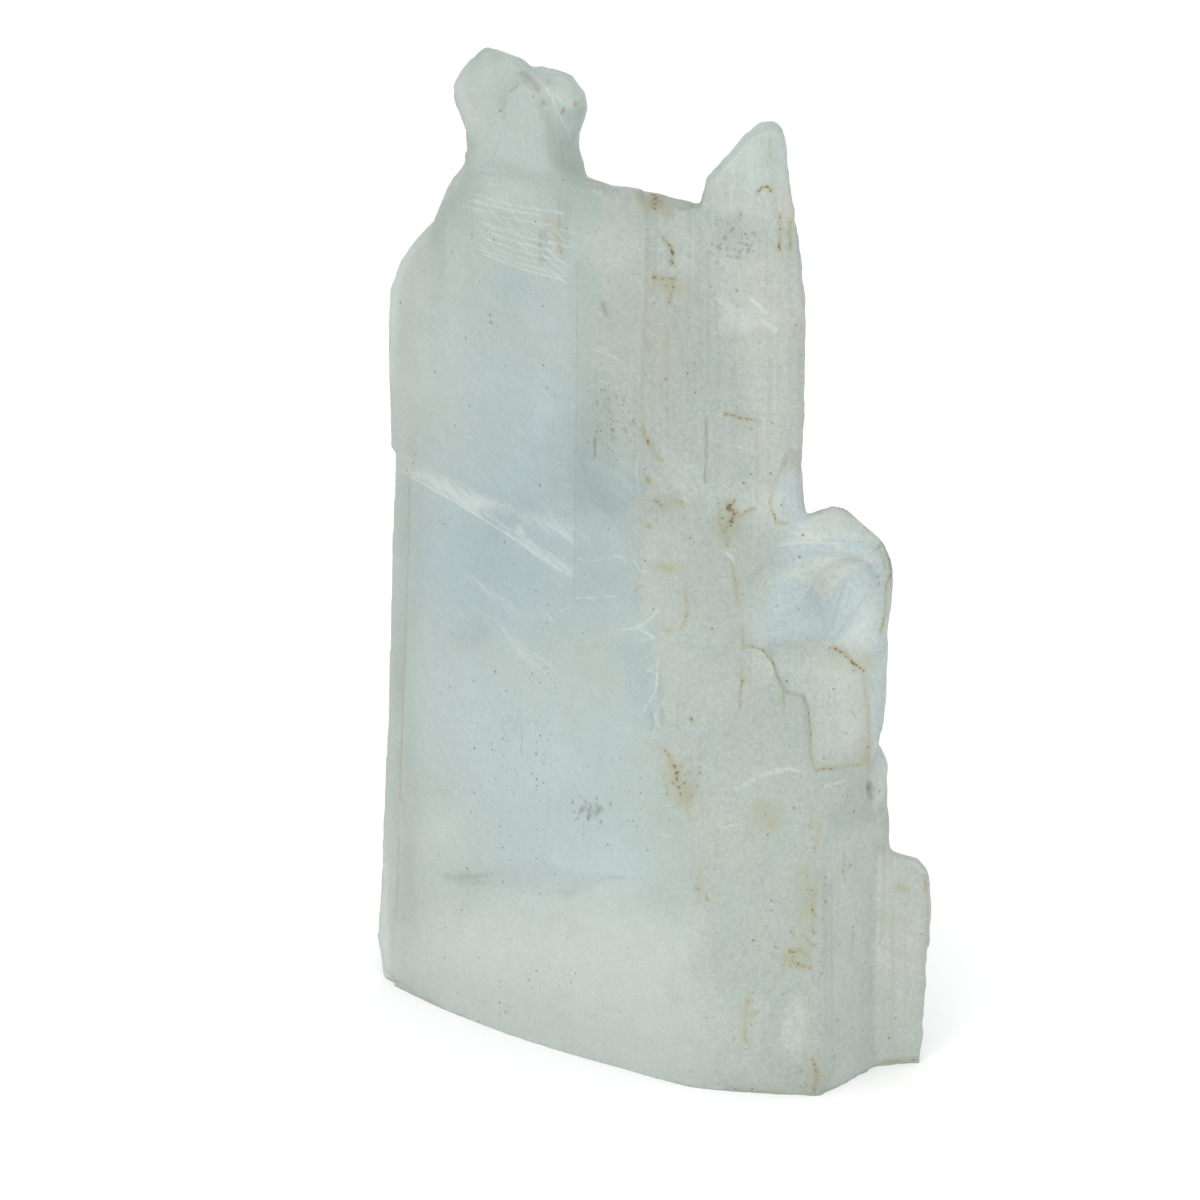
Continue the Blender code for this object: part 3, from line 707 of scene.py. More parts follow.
# name: (width in pixels, strength, path)
cracks_and_highlights = {
    "long_low_edge": (2.4, 1.0, [(396, 468), (422, 483), (447, 497), (472, 512), (497, 528),
                                 (516, 540)]),
    "long_low_end": (2.4, 0.95, [(516, 540), (532, 552), (550, 563), (571, 577)]),
    "long_twin": (1.6, 0.75, [(484, 513), (500, 523), (514, 532), (534, 545), (571, 571)]),
    "long_high_edge": (1.6, 0.50, [(397, 451), (416, 462), (436, 474), (463, 491)]),
    "long_high_middle": (2.0, 0.70, [(463, 491), (486, 501), (511, 507)]),
    "long_high_end": (1.6, 0.50, [(511, 507), (536, 517), (558, 530), (573, 539)]),
    "inner_line_one": (1.4, 0.55, [(404, 466), (430, 480), (456, 497), (476, 506)]),
    "inner_line_two": (1.4, 0.45, [(420, 470), (444, 484), (466, 498)]),
    "fan_one": (1.6, 0.70, [(546, 524), (560, 532), (573, 540)]),
    "fan_two": (1.2, 0.50, [(549, 500), (560, 503), (573, 508)]),
    "fan_three": (1.2, 0.50, [(541, 474), (554, 483), (574, 487)]),
    "fan_four": (1.2, 0.35, [(516, 494), (535, 507)]),
    "fan_five": (1.2, 0.35, [(548, 512), (573, 523)]),
    "fan_six": (1.2, 0.30, [(553, 448), (574, 462)]),
    "comma": (1.6, 0.60, [(465, 436), (473, 439)]),
    "second_crack": (2.4, 0.50, [(455, 566), (466, 574), (483, 585), (494, 592), (505, 600),
                                 (524, 611)]),
    "second_crack_end": (1.8, 0.30, [(524, 611), (544, 617), (560, 611), (573, 598)]),
    "third_crack": (2.6, 0.45, [(474, 607), (497, 622), (513, 637), (530, 651), (547, 662)]),
    "third_branch": (1.6, 0.30, [(441, 624), (462, 611)]),
    "tick_one": (1.2, 0.45, [(409, 531), (418, 524)]),
    "tick_two": (1.2, 0.35, [(406, 558), (422, 555)]),
    "tick_three": (1.4, 0.50, [(403, 601), (414, 607)]),
    "tick_four": (1.4, 0.50, [(386, 770), (396, 786)]),
    "low_left_crack": (2.2, 0.50, [(396, 790), (412, 800), (430, 812), (446, 826)]),
    "low_left_twin": (1.6, 0.40, [(396, 800), (414, 814), (436, 830)]),
    "left_shoulder": (2.0, 0.45, [(404, 282), (420, 268), (440, 256)]),
    "upper_left": (1.4, 0.35, [(404, 250), (424, 240), (446, 236)]),
    "knob_seam": (2.2, 0.75, [(517, 62), (532, 73), (545, 86), (552, 98), (557, 110)]),
    "knob_seam_low": (1.8, 0.50, [(557, 110), (565, 124), (573, 138)]),
    "knob_cream": (7.0, 0.50, [(548, 72), (560, 73)]),
    "knob_flake": (3.0, 0.60, [(545, 108), (552, 110)]),
    "knob_left_line": (2.0, 0.40, [(478, 124), (492, 120)]),
    "knob_left_low": (2.0, 0.40, [(470, 158), (486, 150), (500, 152)]),
    "knob_ring": (2.0, 0.50, [(507, 134), (515, 139), (523, 134)]),
    "knob_level_one": (1.4, 0.55, [(470, 118), (484, 121), (498, 120)]),
    "knob_level_two": (1.4, 0.45, [(468, 134), (484, 134), (500, 138)]),
    "knob_level_three": (1.2, 0.40, [(476, 144), (490, 146)]),
    "knob_column": (1.6, 0.45, [(519, 84), (522, 110), (524, 150), (526, 176)]),
    "knob_column_two": (1.4, 0.40, [(536, 110), (539, 140), (543, 176)]),
    "neck_level_one": (1.4, 0.50, [(472, 168), (500, 172), (530, 172)]),
    "neck_level_two": (1.4, 0.45, [(466, 180), (496, 184), (520, 188)]),
    "knob_crown": (3.0, 0.40, [(478, 56), (496, 52), (510, 60)]),
    "neck_line": (1.6, 0.40, [(505, 100), (505, 128)]),
    "spire_bright": (12.0, 0.20, [(745, 170), (760, 200)]),
    "spire_edge": (2.0, 0.50, [(722, 172), (744, 148), (764, 126)]),
    "spire_foot": (3.0, 0.40, [(745, 212), (772, 216)]),
    "flank_top_line": (2.0, 0.60, [(590, 188), (606, 196), (622, 204)]),
    "flank_top_two": (1.6, 0.40, [(604, 180), (622, 190), (640, 194)]),
    "flank_cream_one": (5.0, 0.70, [(752, 300), (764, 310)]),
    "flank_cream_two": (6.0, 0.75, [(764, 322), (776, 330)]),
    "flank_cream_three": (4.0, 0.50, [(715, 298), (728, 306)]),
    "flank_slant": (2.0, 0.45, [(700, 296), (730, 308), (764, 318)]),
    "flank_slant_two": (1.6, 0.40, [(690, 280), (712, 290)]),
    "window_slant": (1.8, 0.60, [(708, 439), (735, 446), (757, 453)]),
    "window_top": (1.8, 0.60, [(706, 413), (728, 415)]),
    "window_fleck": (2.4, 0.50, [(748, 480), (753, 484)]),
    "strip_foot_one": (1.8, 0.55, [(574, 558), (591, 561), (604, 559), (616, 556), (626, 560)]),
    "strip_foot_two": (2.2, 0.55, [(573, 598), (592, 598), (612, 596), (630, 598)]),
    "strip_marks_one": (2.0, 0.50, [(588, 388), (602, 381), (618, 388)]),
    "strip_marks_two": (1.8, 0.40, [(598, 371), (614, 365), (632, 372)]),
    "strip_marks_three": (1.6, 0.40, [(590, 345), (606, 350), (624, 344)]),
    "strip_arc_one": (1.6, 0.60, [(588, 349), (602, 352), (618, 359), (634, 370), (641, 382)]),
    "strip_arc_two": (1.6, 0.50, [(593, 362), (606, 368), (622, 380), (634, 392)]),
    "strip_arc_three": (1.4, 0.45, [(590, 376), (608, 384), (626, 389)]),
    "shoulder_streak": (1.4, 0.40, [(424, 262), (436, 254), (442, 256), (458, 266)]),
    "bundle_end_one": (1.4, 0.65, [(556, 228), (566, 231), (578, 234)]),
    "bundle_end_two": (1.4, 0.50, [(560, 238), (572, 243), (582, 246)]),
    "face_edge_one": (2.4, 0.60, [(638, 456), (636, 474), (640, 492)]),
    "face_edge_two": (2.6, 0.60, [(634, 560), (640, 572), (650, 569)]),
    "face_edge_three": (2.4, 0.80, [(622, 630), (636, 628), (647, 622), (658, 611)]),
    "face_edge_four": (2.0, 0.60, [(636, 628), (648, 634), (658, 640)]),
    "face_edge_five": (2.6, 0.65, [(658, 660), (656, 690), (648, 704), (640, 716)]),
    "face_edge_six": (2.6, 0.60, [(662, 700), (655, 716), (660, 730)]),
    # terrace_glint is a painted highlight, a glint on the terrace's edge.
    "terrace_glint": (3.4, 1.0, [(727, 553), (731, 557), (734, 563)]),
    "terrace_flake": (3.6, 0.85, [(684, 499), (688, 501)]),
    "terrace_rim": (2.0, 0.50, [(664, 492), (690, 486), (706, 496), (714, 506)]),
    "terrace_arc": (1.8, 0.45, [(686, 600), (704, 586), (728, 589)]),
    "bulge_top": (3.0, 1.0, [(784, 545), (800, 542), (818, 542), (836, 544)]),
    # bulge_glint is a painted highlight, a glint on the bulge's crest.
    "bulge_glint": (3.4, 1.0, [(834, 545), (840, 547)]),
    "bulge_crown": (5.0, 0.50, [(800, 528), (816, 518), (834, 514)]),
    "bulge_fan_one": (4.6, 0.95, [(792, 574), (812, 566), (832, 559), (850, 556)]),
    "bulge_fan_two": (3.6, 0.90, [(835, 573), (852, 565), (872, 561)]),
    "bulge_fan_three": (3.0, 0.75, [(806, 590), (818, 578), (834, 570)]),
    # bulge_low and bulge_middle are painted highlights on the lit planes of the bulge's glassy
    # break.
    "bulge_low": (13.0, 0.60, [(846, 640), (862, 626), (872, 610)]),
    "bulge_middle": (7.0, 0.50, [(812, 584), (826, 598)]),
    "bulge_rim": (2.4, 0.55, [(868, 542), (884, 545), (891, 556)]),
    # plate_bright is a painted highlight on the lit plate beside the bulge.
    "plate_bright": (15.0, 0.35, [(776, 612), (796, 596)]),
    "plate_line": (1.6, 0.45, [(748, 640), (766, 632), (786, 634)]),
    "recess_crack": (1.6, 0.50, [(818, 668), (826, 682), (834, 690)]),
    "recess_smear": (5.0, 0.35, [(816, 690), (840, 692)]),
    "contour_light": (2.0, 0.50, [(754, 650), (764, 655), (774, 668)]),
    "sliver_edge": (2.2, 0.60, [(882, 752), (889, 766), (890, 790)]),
    # shoulder_one, shoulder_two, shoulder_three and shoulder_flecks are painted highlights on the
    # lit top of the ledge over the block.
    "shoulder_one": (6.0, 0.60, [(738, 788), (760, 776), (782, 770)]),
    "shoulder_two": (4.0, 0.60, [(786, 768), (800, 772)]),
    "shoulder_three": (5.0, 0.55, [(826, 786), (846, 780)]),
    "shoulder_flecks": (3.0, 0.60, [(722, 828), (736, 824)]),
    "block_edge": (2.6, 0.55, [(866, 782), (876, 793), (887, 806)]),
    "wing_top": (4.0, 0.50, [(900, 858), (914, 862), (922, 872)]),
    "pale_facet": (12.0, 0.30, [(800, 1000), (796, 1040)]),
    "face_foot": (10.0, 0.45, [(690, 1010), (700, 1035), (690, 1050)]),
    "face_foot_line": (2.4, 0.45, [(652, 985), (664, 1004), (670, 1030)]),
    "base_rim": (2.4, 0.50, [(470, 1018), (540, 1041), (600, 1060), (670, 1080)]),
}
for number in range(BUNDLE_LINES):
    across = 462 + 1.6 * number + chance.uniform(-12, 12)
    down = 194 + 3.1 * number + chance.uniform(-2, 2)
    length = chance.uniform(44, 92)
    slope = 0.22 + 0.005 * number + chance.uniform(-0.01, 0.01)
    middle = (across + 0.5 * length, down + (0.5 * slope + 0.03) * length)
    end = (across + length, down + length * slope)
    strength = chance.uniform(0.35, 0.95)
    cracks_and_highlights[f"top_bundle_{number}"] = (1.3, strength, [(across, down), middle, end])
for number in range(RAGGED_LINES):
    down = 640 + 15 * number + chance.uniform(-5, 5)
    across = 655 + (down - 640) * 0.13 + chance.uniform(-9, 9)
    length = chance.uniform(5, 14)
    strength = chance.uniform(0.3, 0.7)
    end = (across - length, down + length * chance.uniform(-0.8, 0.5))
    cracks_and_highlights[f"ragged_edge_{number}"] = (2.0, strength, [(across, down), end])
print(len(cracks_and_highlights), "white cracks")

# %% [markdown]
# ### Rust
#
# Iron-rich water ran into the open edges and dried there. Rust is darkest in the deepest corner
# and thins out to ochre. It is only colour, so it changes no shape.

# %% Rust
# name: (width in pixels, strength, path)
rusts = {
    "notch_blob": (9.0, 1.0, [(652, 190), (657, 204)]),
    "notch_run": (5.0, 0.80, [(661, 200), (663, 214)]),
    "notch_right": (3.6, 0.60, [(670, 198), (684, 203), (702, 202)]),
    "notch_left": (3.4, 0.60, [(586, 180), (600, 182), (606, 192)]),
    "flank_hook": (3.4, 0.95, [(664, 238), (669, 246), (672, 252), (671, 264)]),
    "flank_side_run": (2.0, 0.34, [(653, 252), (655, 268), (654, 286)]),
    "flank_ochre": (6.0, 0.80, [(655, 277), (666, 279), (676, 279)]),
    "flank_ochre_run": (4.0, 0.72, [(673, 279), (672, 290), (669, 302)]),
    "flank_seam_one": (1.8, 0.34, [(646, 250), (646, 300), (644, 350), (642, 400), (644, 436)]),
    "flank_seam_foot": (2.6, 0.85, [(643, 425), (645, 436), (650, 444)]),
    "flank_seam_two": (1.8, 0.30, [(668, 330), (668, 390)]),
    "flank_seam_three": (1.6, 0.28, [(707, 310), (708, 360)]),
    "knob_ridge": (3.4, 0.60, [(522, 72), (530, 78), (538, 90)]),
    "knob_patch": (4.0, 0.40, [(536, 104), (544, 102)]),
    "knob_seam_rust": (4.0, 0.34, [(552, 128), (556, 148), (557, 166)]),
    "neck_rust_one": (1.8, 0.60, [(561, 140), (562, 154), (563, 166)]),
    "neck_rust_two": (1.8, 0.30, [(548, 114), (548, 132), (549, 146)]),
    "neck_rust_left": (1.8, 0.35, [(487, 150), (489, 168)]),
    "knob_dots": (2.4, 1.0, [(562, 113), (564, 108)]),
    "knob_dot_right": (2.6, 1.0, [(575, 103), (575, 106)]),
    "bundle_patch": (7.0, 0.50, [(546, 222), (556, 236), (562, 256)]),
    "spire_line": (2.4, 0.75, [(769, 138), (770, 152), (768, 166)]),
    "spire_arc": (3.4, 1.0, [(757, 192), (763, 187), (769, 188), (771, 192)]),
    "spire_edge_one": (3.0, 0.85, [(780, 214), (780, 232), (779, 250)]),
    "spire_edge_two": (3.0, 0.90, [(790, 220), (790, 236), (791, 248)]),
    "window_top": (2.8, 0.90, [(726, 414), (734, 416), (744, 418), (757, 421)]),
    "window_side": (3.0, 0.42, [(757, 424), (757, 450), (757, 478), (757, 503)]),
    "vee_blob": (7.0, 0.95, [(728, 506), (734, 514), (731, 522)]),
    "vee_left": (5.0, 0.60, [(720, 511), (720, 524), (720, 532)]),
    "vee_right": (3.0, 0.85, [(736, 518), (747, 511), (756, 509)]),
    "vee_run": (3.4, 0.65, [(731, 520), (725, 535), (728, 546)]),
    "brown_edge": (3.6, 0.60, [(732, 561), (736, 586), (738, 607)]),
    "brown_edge_low": (2.4, 0.65, [(743, 628), (743, 646)]),
    "brown_edge_foot": (3.0, 0.65, [(742, 668), (741, 690), (740, 708)]),
    "fin_side": (1.8, 0.50, [(785, 462), (774, 482), (770, 500)]),
    "fin_hook": (2.4, 0.85, [(770, 500), (771, 512), (776, 521)]),
    "fin_foot": (2.4, 0.80, [(776, 522), (786, 524)]),
    "face_edge_spot_one": (4.0, 0.80, [(647, 478), (648, 482)]),
    "face_edge_spot_two": (5.0, 0.75, [(656, 500), (662, 506)]),
    "face_edge_spot_three": (3.6, 0.85, [(676, 501), (681, 503)]),
    "face_edge_spot_four": (3.6, 0.90, [(648, 526), (650, 527)]),
    "face_edge_spot_five": (3.0, 0.85, [(657, 458), (662, 460)]),
    "face_edge_top": (4.0, 0.55, [(640, 430), (650, 446), (662, 460)]),
    "terrace_ochre": (8.0, 0.50, [(658, 566), (670, 569)]),
    "terrace_run": (3.0, 0.65, [(686, 588), (687, 612), (684, 622), (680, 630)]),
    "terrace_dots": (2.6, 0.80, [(663, 630), (670, 630)]),
    "terrace_spot": (3.4, 0.80, [(691, 718), (692, 721)]),
    "contour_top": (2.2, 0.80, [(743, 648), (751, 645), (763, 650)]),
    "contour_one": (2.2, 0.85, [(763, 650), (772, 661), (778, 679), (783, 691)]),
    "contour_two": (2.0, 0.65, [(783, 691), (797, 695), (804, 696)]),
    "contour_three": (2.2, 0.80, [(804, 696), (808, 711), (810, 732), (811, 757)]),
    "contour_four": (3.0, 0.80, [(811, 757), (815, 770), (833, 768)]),
    "contour_five": (3.0, 0.65, [(833, 768), (851, 765), (860, 765)]),
    "contour_drop": (2.0, 0.65, [(783, 691), (783, 708)]),
    "recess_hook": (4.0, 0.95, [(833, 648), (845, 654), (854, 664), (863, 670)]),
    "recess_run": (2.6, 0.60, [(863, 670), (865, 686), (866, 706)]),
    "recess_line": (2.8, 0.70, [(869, 706), (868, 726), (869, 746), (868, 768)]),
    "recess_brown": (8.0, 0.40, [(862, 738), (866, 760)]),
    "bulge_crest": (3.6, 0.50, [(840, 509), (858, 518), (869, 532)]),
    "bulge_rim_top": (3.0, 0.80, [(876, 550), (883, 543), (888, 557)]),
    "bulge_rim_one": (3.0, 0.85, [(888, 557), (892, 571), (886, 586)]),
    "bulge_rim_two": (2.8, 0.75, [(886, 586), (885, 614), (881, 632)]),
    "bulge_rim_inner": (2.4, 0.65, [(882, 553), (885, 568)]),
    "patch_dark": (8.0, 0.80, [(672, 764), (678, 774), (676, 782)]),
    "patch_ochre": (12.0, 0.70, [(680, 788), (684, 798)]),
    "patch_top": (4.0, 0.75, [(664, 748), (670, 758)]),
    "patch_left": (2.6, 0.60, [(668, 786), (667, 796)]),
    "patch_tail": (4.0, 0.50, [(686, 806), (690, 822)]),
    "shoulder_ochre": (15.0, 0.50, [(764, 808), (770, 822)]),
    "block_edge_one": (3.0, 0.50, [(819, 826), (818, 838), (817, 850)]),
    "block_edge_two": (3.6, 0.60, [(818, 872), (816, 892), (814, 908), (812, 932)]),
    "block_edge_three": (4.0, 0.65, [(800, 874), (806, 868)]),
    "block_spots_one": (5.0, 0.70, [(790, 952), (800, 950), (808, 956)]),
    "block_spots_two": (5.0, 0.80, [(794, 962), (804, 966)]),
    "block_pale_rim": (2.4, 0.40, [(806, 944), (792, 960), (776, 984), (766, 998)]),
    "block_low_run": (5.0, 0.55, [(748, 1000), (744, 1018), (746, 1040)]),
    "block_left_spots": (2.6, 0.50, [(700, 868), (702, 884), (698, 904)]),
    "block_foot": (5.0, 0.75, [(814, 1062), (818, 1076), (814, 1088)]),
    "block_foot_left": (4.0, 0.55, [(736, 1088), (760, 1092), (784, 1092)]),
    "side_line_one": (2.2, 0.45, [(884, 846), (884, 880), (882, 920), (880, 944)]),
    "side_line_two": (2.4, 0.60, [(844, 852), (843, 866), (845, 880)]),
    "side_line_three": (2.6, 0.55, [(853, 934), (851, 962)]),
    "side_line_four": (2.4, 0.45, [(871, 968), (870, 1002)]),
    "side_line_five": (2.0, 0.35, [(856, 850), (855, 900)]),
    "wing_top_ochre": (5.0, 0.60, [(898, 886), (908, 892)]),
    "wing_dark": (2.4, 0.75, [(925, 876), (926, 890)]),
    "wing_line": (1.8, 0.34, [(893, 880), (893, 940), (892, 1040)]),
    "wing_foot": (3.0, 0.60, [(884, 1062), (900, 1061), (918, 1058)]),
    "left_line_one": (1.4, 0.50, [(410, 486), (409, 520), (409, 547), (407, 608)]),
    "left_line_two": (1.4, 0.50, [(406, 620), (405, 659), (403, 720), (400, 800)]),
    "left_line_three": (1.6, 0.50, [(399, 840), (398, 880), (396, 915)]),
    "base_left": (3.0, 0.50, [(388, 972), (398, 982), (412, 990)]),
}
print(len(rusts), "rust marks")

# %% [markdown]
# ### Clay and painted shade
#
# Slate-grey clay settled in hollows, and a long smear of it lies low on the broad face. The smear
# is one wide mark with a thin rim, so its edge is darker than its middle. The same dark colour
# draws thin lines along steps, and it paints shade: the shadow on the window's left edge, and the
# shade in the bulge's valley and under its crest.

# %% Clay
# name: (width in pixels, strength, path)
clays_and_shade = {
    "upper_dark_one": (3.6, 0.75, [(540, 232), (540, 248), (541, 262)]),
    "upper_dark_two": (3.0, 0.65, [(559, 200), (559, 220), (560, 250)]),
    "upper_dark_three": (2.0, 0.45, [(552, 238), (551, 262)]),
    "upper_dark_four": (2.0, 0.45, [(566, 204), (567, 236)]),
    "upper_dark_five": (1.6, 0.45, [(571, 206), (571, 222)]),
    "strip_spot": (8.0, 0.65, [(603, 304), (606, 314)]),
    "strip_streak": (3.2, 0.80, [(595, 438), (595, 456)]),
    "strip_blue_spot": (5.0, 0.50, [(583, 466), (586, 470)]),
    "strip_step": (1.6, 0.42, [(577, 262), (577, 340), (576, 440), (575, 520), (574, 596)]),
    "knob_step": (1.6, 0.40, [(502, 97), (502, 130)]),
    "knob_crack": (2.6, 0.60, [(501, 134), (498, 148), (492, 158), (494, 166)]),
    "neck_spots": (3.4, 0.45, [(480, 172), (493, 176)]),
    # window_dark is painted shadow, on the shaded left side of the window's step.
    "window_dark": (3.0, 0.70, [(706, 418), (706, 450), (705, 482)]),
    "flank_dark_one": (2.2, 0.50, [(690, 206), (690, 236)]),
    "flank_dark_two": (2.0, 0.45, [(715, 290), (716, 330)]),
    "flank_dark_three": (2.0, 0.40, [(778, 330), (778, 410)]),
    "flank_dark_four": (2.0, 0.40, [(770, 350), (770, 440)]),
    "fin_dark": (2.4, 0.55, [(784, 498), (784, 514)]),
    # bulge_valley and bulge_under are painted shade, in the bulge's valley and under its crest.
    "bulge_valley": (4.0, 0.42, [(846, 580), (838, 604), (832, 628)]),
    "bulge_valley_edge": (1.6, 0.45, [(834, 640), (851, 615), (868, 594), (884, 580)]),
    "bulge_slope": (1.6, 0.35, [(851, 574), (838, 590), (830, 602)]),
    "bulge_under": (6.0, 0.35, [(792, 556), (812, 553), (834, 554)]),
    "plate_rim": (1.4, 0.32, [(774, 576), (789, 577), (805, 588), (820, 608), (827, 630)]),
    "recess_spot": (2.6, 0.60, [(852, 712), (855, 716)]),
    "smear_left": (9.0, 0.50, [(446, 877), (470, 877), (488, 876)]),
    "smear_rim_top": (1.4, 0.42, [(443, 876), (450, 872), (483, 872), (521, 863), (542, 860),
                                  (567, 870), (600, 874)]),
    "smear_rim_low": (1.4, 0.42, [(446, 883), (475, 884), (508, 888), (537, 895), (567, 898),
                                  (583, 892), (601, 881)]),
    "smear_tip": (4.0, 0.50, [(554, 891), (566, 894), (576, 891)]),
    "smear_right": (3.6, 0.50, [(600, 878), (612, 877), (625, 878)]),
    "smear_stem": (3.6, 0.28, [(542, 857), (546, 830), (548, 797), (544, 763), (550, 738)]),
    "smear_stem_two": (3.0, 0.20, [(579, 872), (583, 838)]),
    "twig_one": (1.2, 0.55, [(501, 724), (512, 720), (521, 726), (522, 755)]),
    "twig_two": (1.2, 0.45, [(512, 701), (513, 717)]),
    "twig_three": (1.2, 0.40, [(488, 722), (502, 726), (508, 740)]),
    "twig_four": (1.2, 0.35, [(521, 726), (534, 720), (548, 728)]),
    "edge_dark_one": (2.6, 0.60, [(651, 712), (653, 722), (650, 730)]),
    "edge_dark_two": (2.2, 0.50, [(644, 740), (650, 744)]),
    "side_shade_one": (4.0, 0.40, [(832, 870), (832, 960), (832, 1040)]),
    "side_shade_two": (3.0, 0.35, [(862, 880), (862, 1000)]),
    "side_shade_three": (2.4, 0.35, [(906, 900), (905, 1040)]),
    "block_rust_core": (2.4, 0.50, [(814, 890), (812, 912)]),
    "patch_core": (3.0, 0.60, [(675, 768), (679, 776)]),
}
print(len(clays_and_shade), "clay marks")

# %% [markdown]
# ### Dots
#
# Some places hold a swarm of small dots. A normal distribution sets them: most are near the
# middle, and a few stray.

# %% Dots
dots_chance = np.random.default_rng(12)


def spatter(marks, name, count, centre, spread, width, strength):
    """Add dots of chance size around a place in the frame, close together in the middle."""
    for number in range(count):
        across = centre[0] + dots_chance.normal() * spread[0]
        down = centre[1] + dots_chance.normal() * spread[1]
        end = (across + dots_chance.uniform(-2.0, 2.0), down + dots_chance.uniform(-3.0, 3.0))
        dot = (dots_chance.uniform(*width), dots_chance.uniform(*strength), [(across, down), end])
        marks[f"{name}_{number}"] = dot


spatter(clays_and_shade, "ring_dots", 34, (590, 810), (8, 7), (1.8, 3.4), (0.8, 1.0))
spatter(clays_and_shade, "spire_dots", 26, (733, 240), (11, 10), (1.2, 2.2), (0.7, 1.0))
spatter(clays_and_shade, "strip_dots", 22, (614, 424), (10, 20), (1.2, 2.2), (0.6, 1.0))
spatter(rusts, "block_dots", 16, (812, 905), (6, 24), (1.8, 3.6), (0.6, 1.0))
spatter(rusts, "hook_dots", 10, (800, 934), (8, 4), (1.6, 3.0), (0.5, 0.9))
spatter(rusts, "cluster_dots", 14, (796, 958), (13, 8), (1.8, 3.6), (0.6, 1.0))
spatter(rusts, "patch_dots", 12, (678, 774), (9, 12), (1.8, 4.0), (0.6, 1.0))
spatter(rusts, "left_dots", 8, (699, 886), (4, 13), (1.6, 3.0), (0.5, 0.9))
spatter(rusts, "foot_dots", 8, (814, 1070), (5, 9), (1.8, 3.4), (0.6, 1.0))
spatter(rusts, "vee_dots", 8, (729, 516), (7, 9), (1.8, 3.4), (0.6, 1.0))
spatter(rusts, "edge_dots", 8, (816, 838), (4, 10), (1.6, 2.8), (0.5, 0.9))
spatter(rusts, "side_dots", 7, (845, 864), (3, 9), (1.6, 2.8), (0.5, 0.9))
spatter(rusts, "low_dots", 8, (750, 1020), (6, 18), (1.4, 2.6), (0.4, 0.8))
print(len(rusts), "rust marks and", len(clays_and_shade), "clay marks, with the dots")

# %% [markdown]
# ### The hidden sides
#
# The back, the far sides and the top carry the same kinds of marks. Nothing is known of their
# places, so a seeded generator spreads them: cracks lean the way the crystal splits, rust and clay
# run nearly upright like the edges of its sheets, and rays from outside lay them on the surface.

# %% Marks on the hidden sides
BEHIND = (132.0, 300.0)         # the way the hidden sides look, in degrees around Z
HALF_WIDTH = 55.0               # how far to either side a mark may start, in millimetres
HEIGHTS = (6.0, 200.0)          # and how far up
OUTSIDE = 150.0                 # how far out a ray starts
TRAIL_POINTS = 7                # the rays sent along one mark


def strike(start, aim):
    """Where a ray from outside meets a side turned away from the camera, or nothing."""
    spot, normal = tree.ray_cast(Vector(start), (Vector(aim) - Vector(start)).normalized())[:2]
    return None if spot is None or normal.dot(toward) > 0.0 else np.array(spot)


def hidden_marks(count, turn_range, width, strength, length, lean):
    """Short trails at chance places on the sides that a turn range, in degrees, looks at."""
    made = []
    for _ in range(count):
        turn = math.radians(chance.uniform(*turn_range))
        outward = np.array((math.sin(turn), -math.cos(turn), 0.0))
        along = np.array((math.cos(turn), math.sin(turn), 0.0))
        middle = along * chance.uniform(-HALF_WIDTH, HALF_WIDTH)
        middle = middle + np.array((0.0, 0.0, chance.uniform(*HEIGHTS)))
        slope = math.radians(chance.normal(*lean))
        step = along * math.cos(slope) + np.array((0.0, 0.0, math.sin(slope)))
        spots = []
        for share in np.linspace(0.0, chance.uniform(*length), TRAIL_POINTS):
            aim = middle + step * share
            spot = strike(aim + outward * OUTSIDE, aim)
            if spot is not None:
                spots.append(spot)
        if len(spots) > 1:
            made.append((chance.uniform(*width), chance.uniform(*strength), np.array(spots)))
    return made


hidden_cracks = hidden_marks(70, BEHIND, (0.3, 0.9), (0.4, 0.9), (4.0, 26.0), (-27.0, 8.0))
hidden_rusts = hidden_marks(84, BEHIND, (0.3, 1.0), (0.4, 0.95), (1.5, 9.0), (86.0, 20.0))
hidden_clays = hidden_marks(24, BEHIND, (0.5, 1.4), (0.3, 0.6), (2.0, 16.0), (80.0, 30.0))
print("out of view:", len(hidden_cracks), "cracks,", len(hidden_rusts), "rust and",
      len(hidden_clays), "clay marks")

# %% Set every mark on the surface
PX = DISTANCE_MM / PX_PER_SLOPE     # one frame pixel on the crystal, in millimetres


def set_on_surface(marks):
    """Marks as (width in millimetres, strength, points on the crystal)."""
    return [(width * PX, strength, trail(path)) for width, strength, path in marks.values()]


seen = {"crack_and_highlight": set_on_surface(cracks_and_highlights),
        "rust": set_on_surface(rusts),
        "clay_and_shade": set_on_surface(clays_and_shade)}
out_of_view = {"crack_and_highlight": hidden_cracks, "rust": hidden_rusts, "clay_and_shade": hidden_clays}
for kind, marks in seen.items():
    print(kind, "has", sum(len(spots) for _, _, spots in marks), "trail points in view")

# %% [markdown]
# ## Small triangles under the marks
#
# A mark's strength is kept on the points of the mesh, so a fine line needs points close together.
# Only the edges near a mark are cut in half, again and again, until they are short. A triangle
# with one, two or three cut sides is split into two, three or four, so the skin stays closed and
# keeps its shape. An image texture would carry finer lines, but it would have to be drawn and
# carried along as a file.

# %% Cut the edges near the marks
FINEST = 0.55           # an edge length in view, in millimetres
FINEST_HIDDEN = 1.05    # and on the hidden sides
CUT_WIDTHS = 0.6        # an edge is cut if its middle is within this share of a mark's width
CUT_LENGTHS = 0.42      # and this share of its own length
CUT_LIMIT = 1.6         # a distance of more than this, in millimetres, counts as this

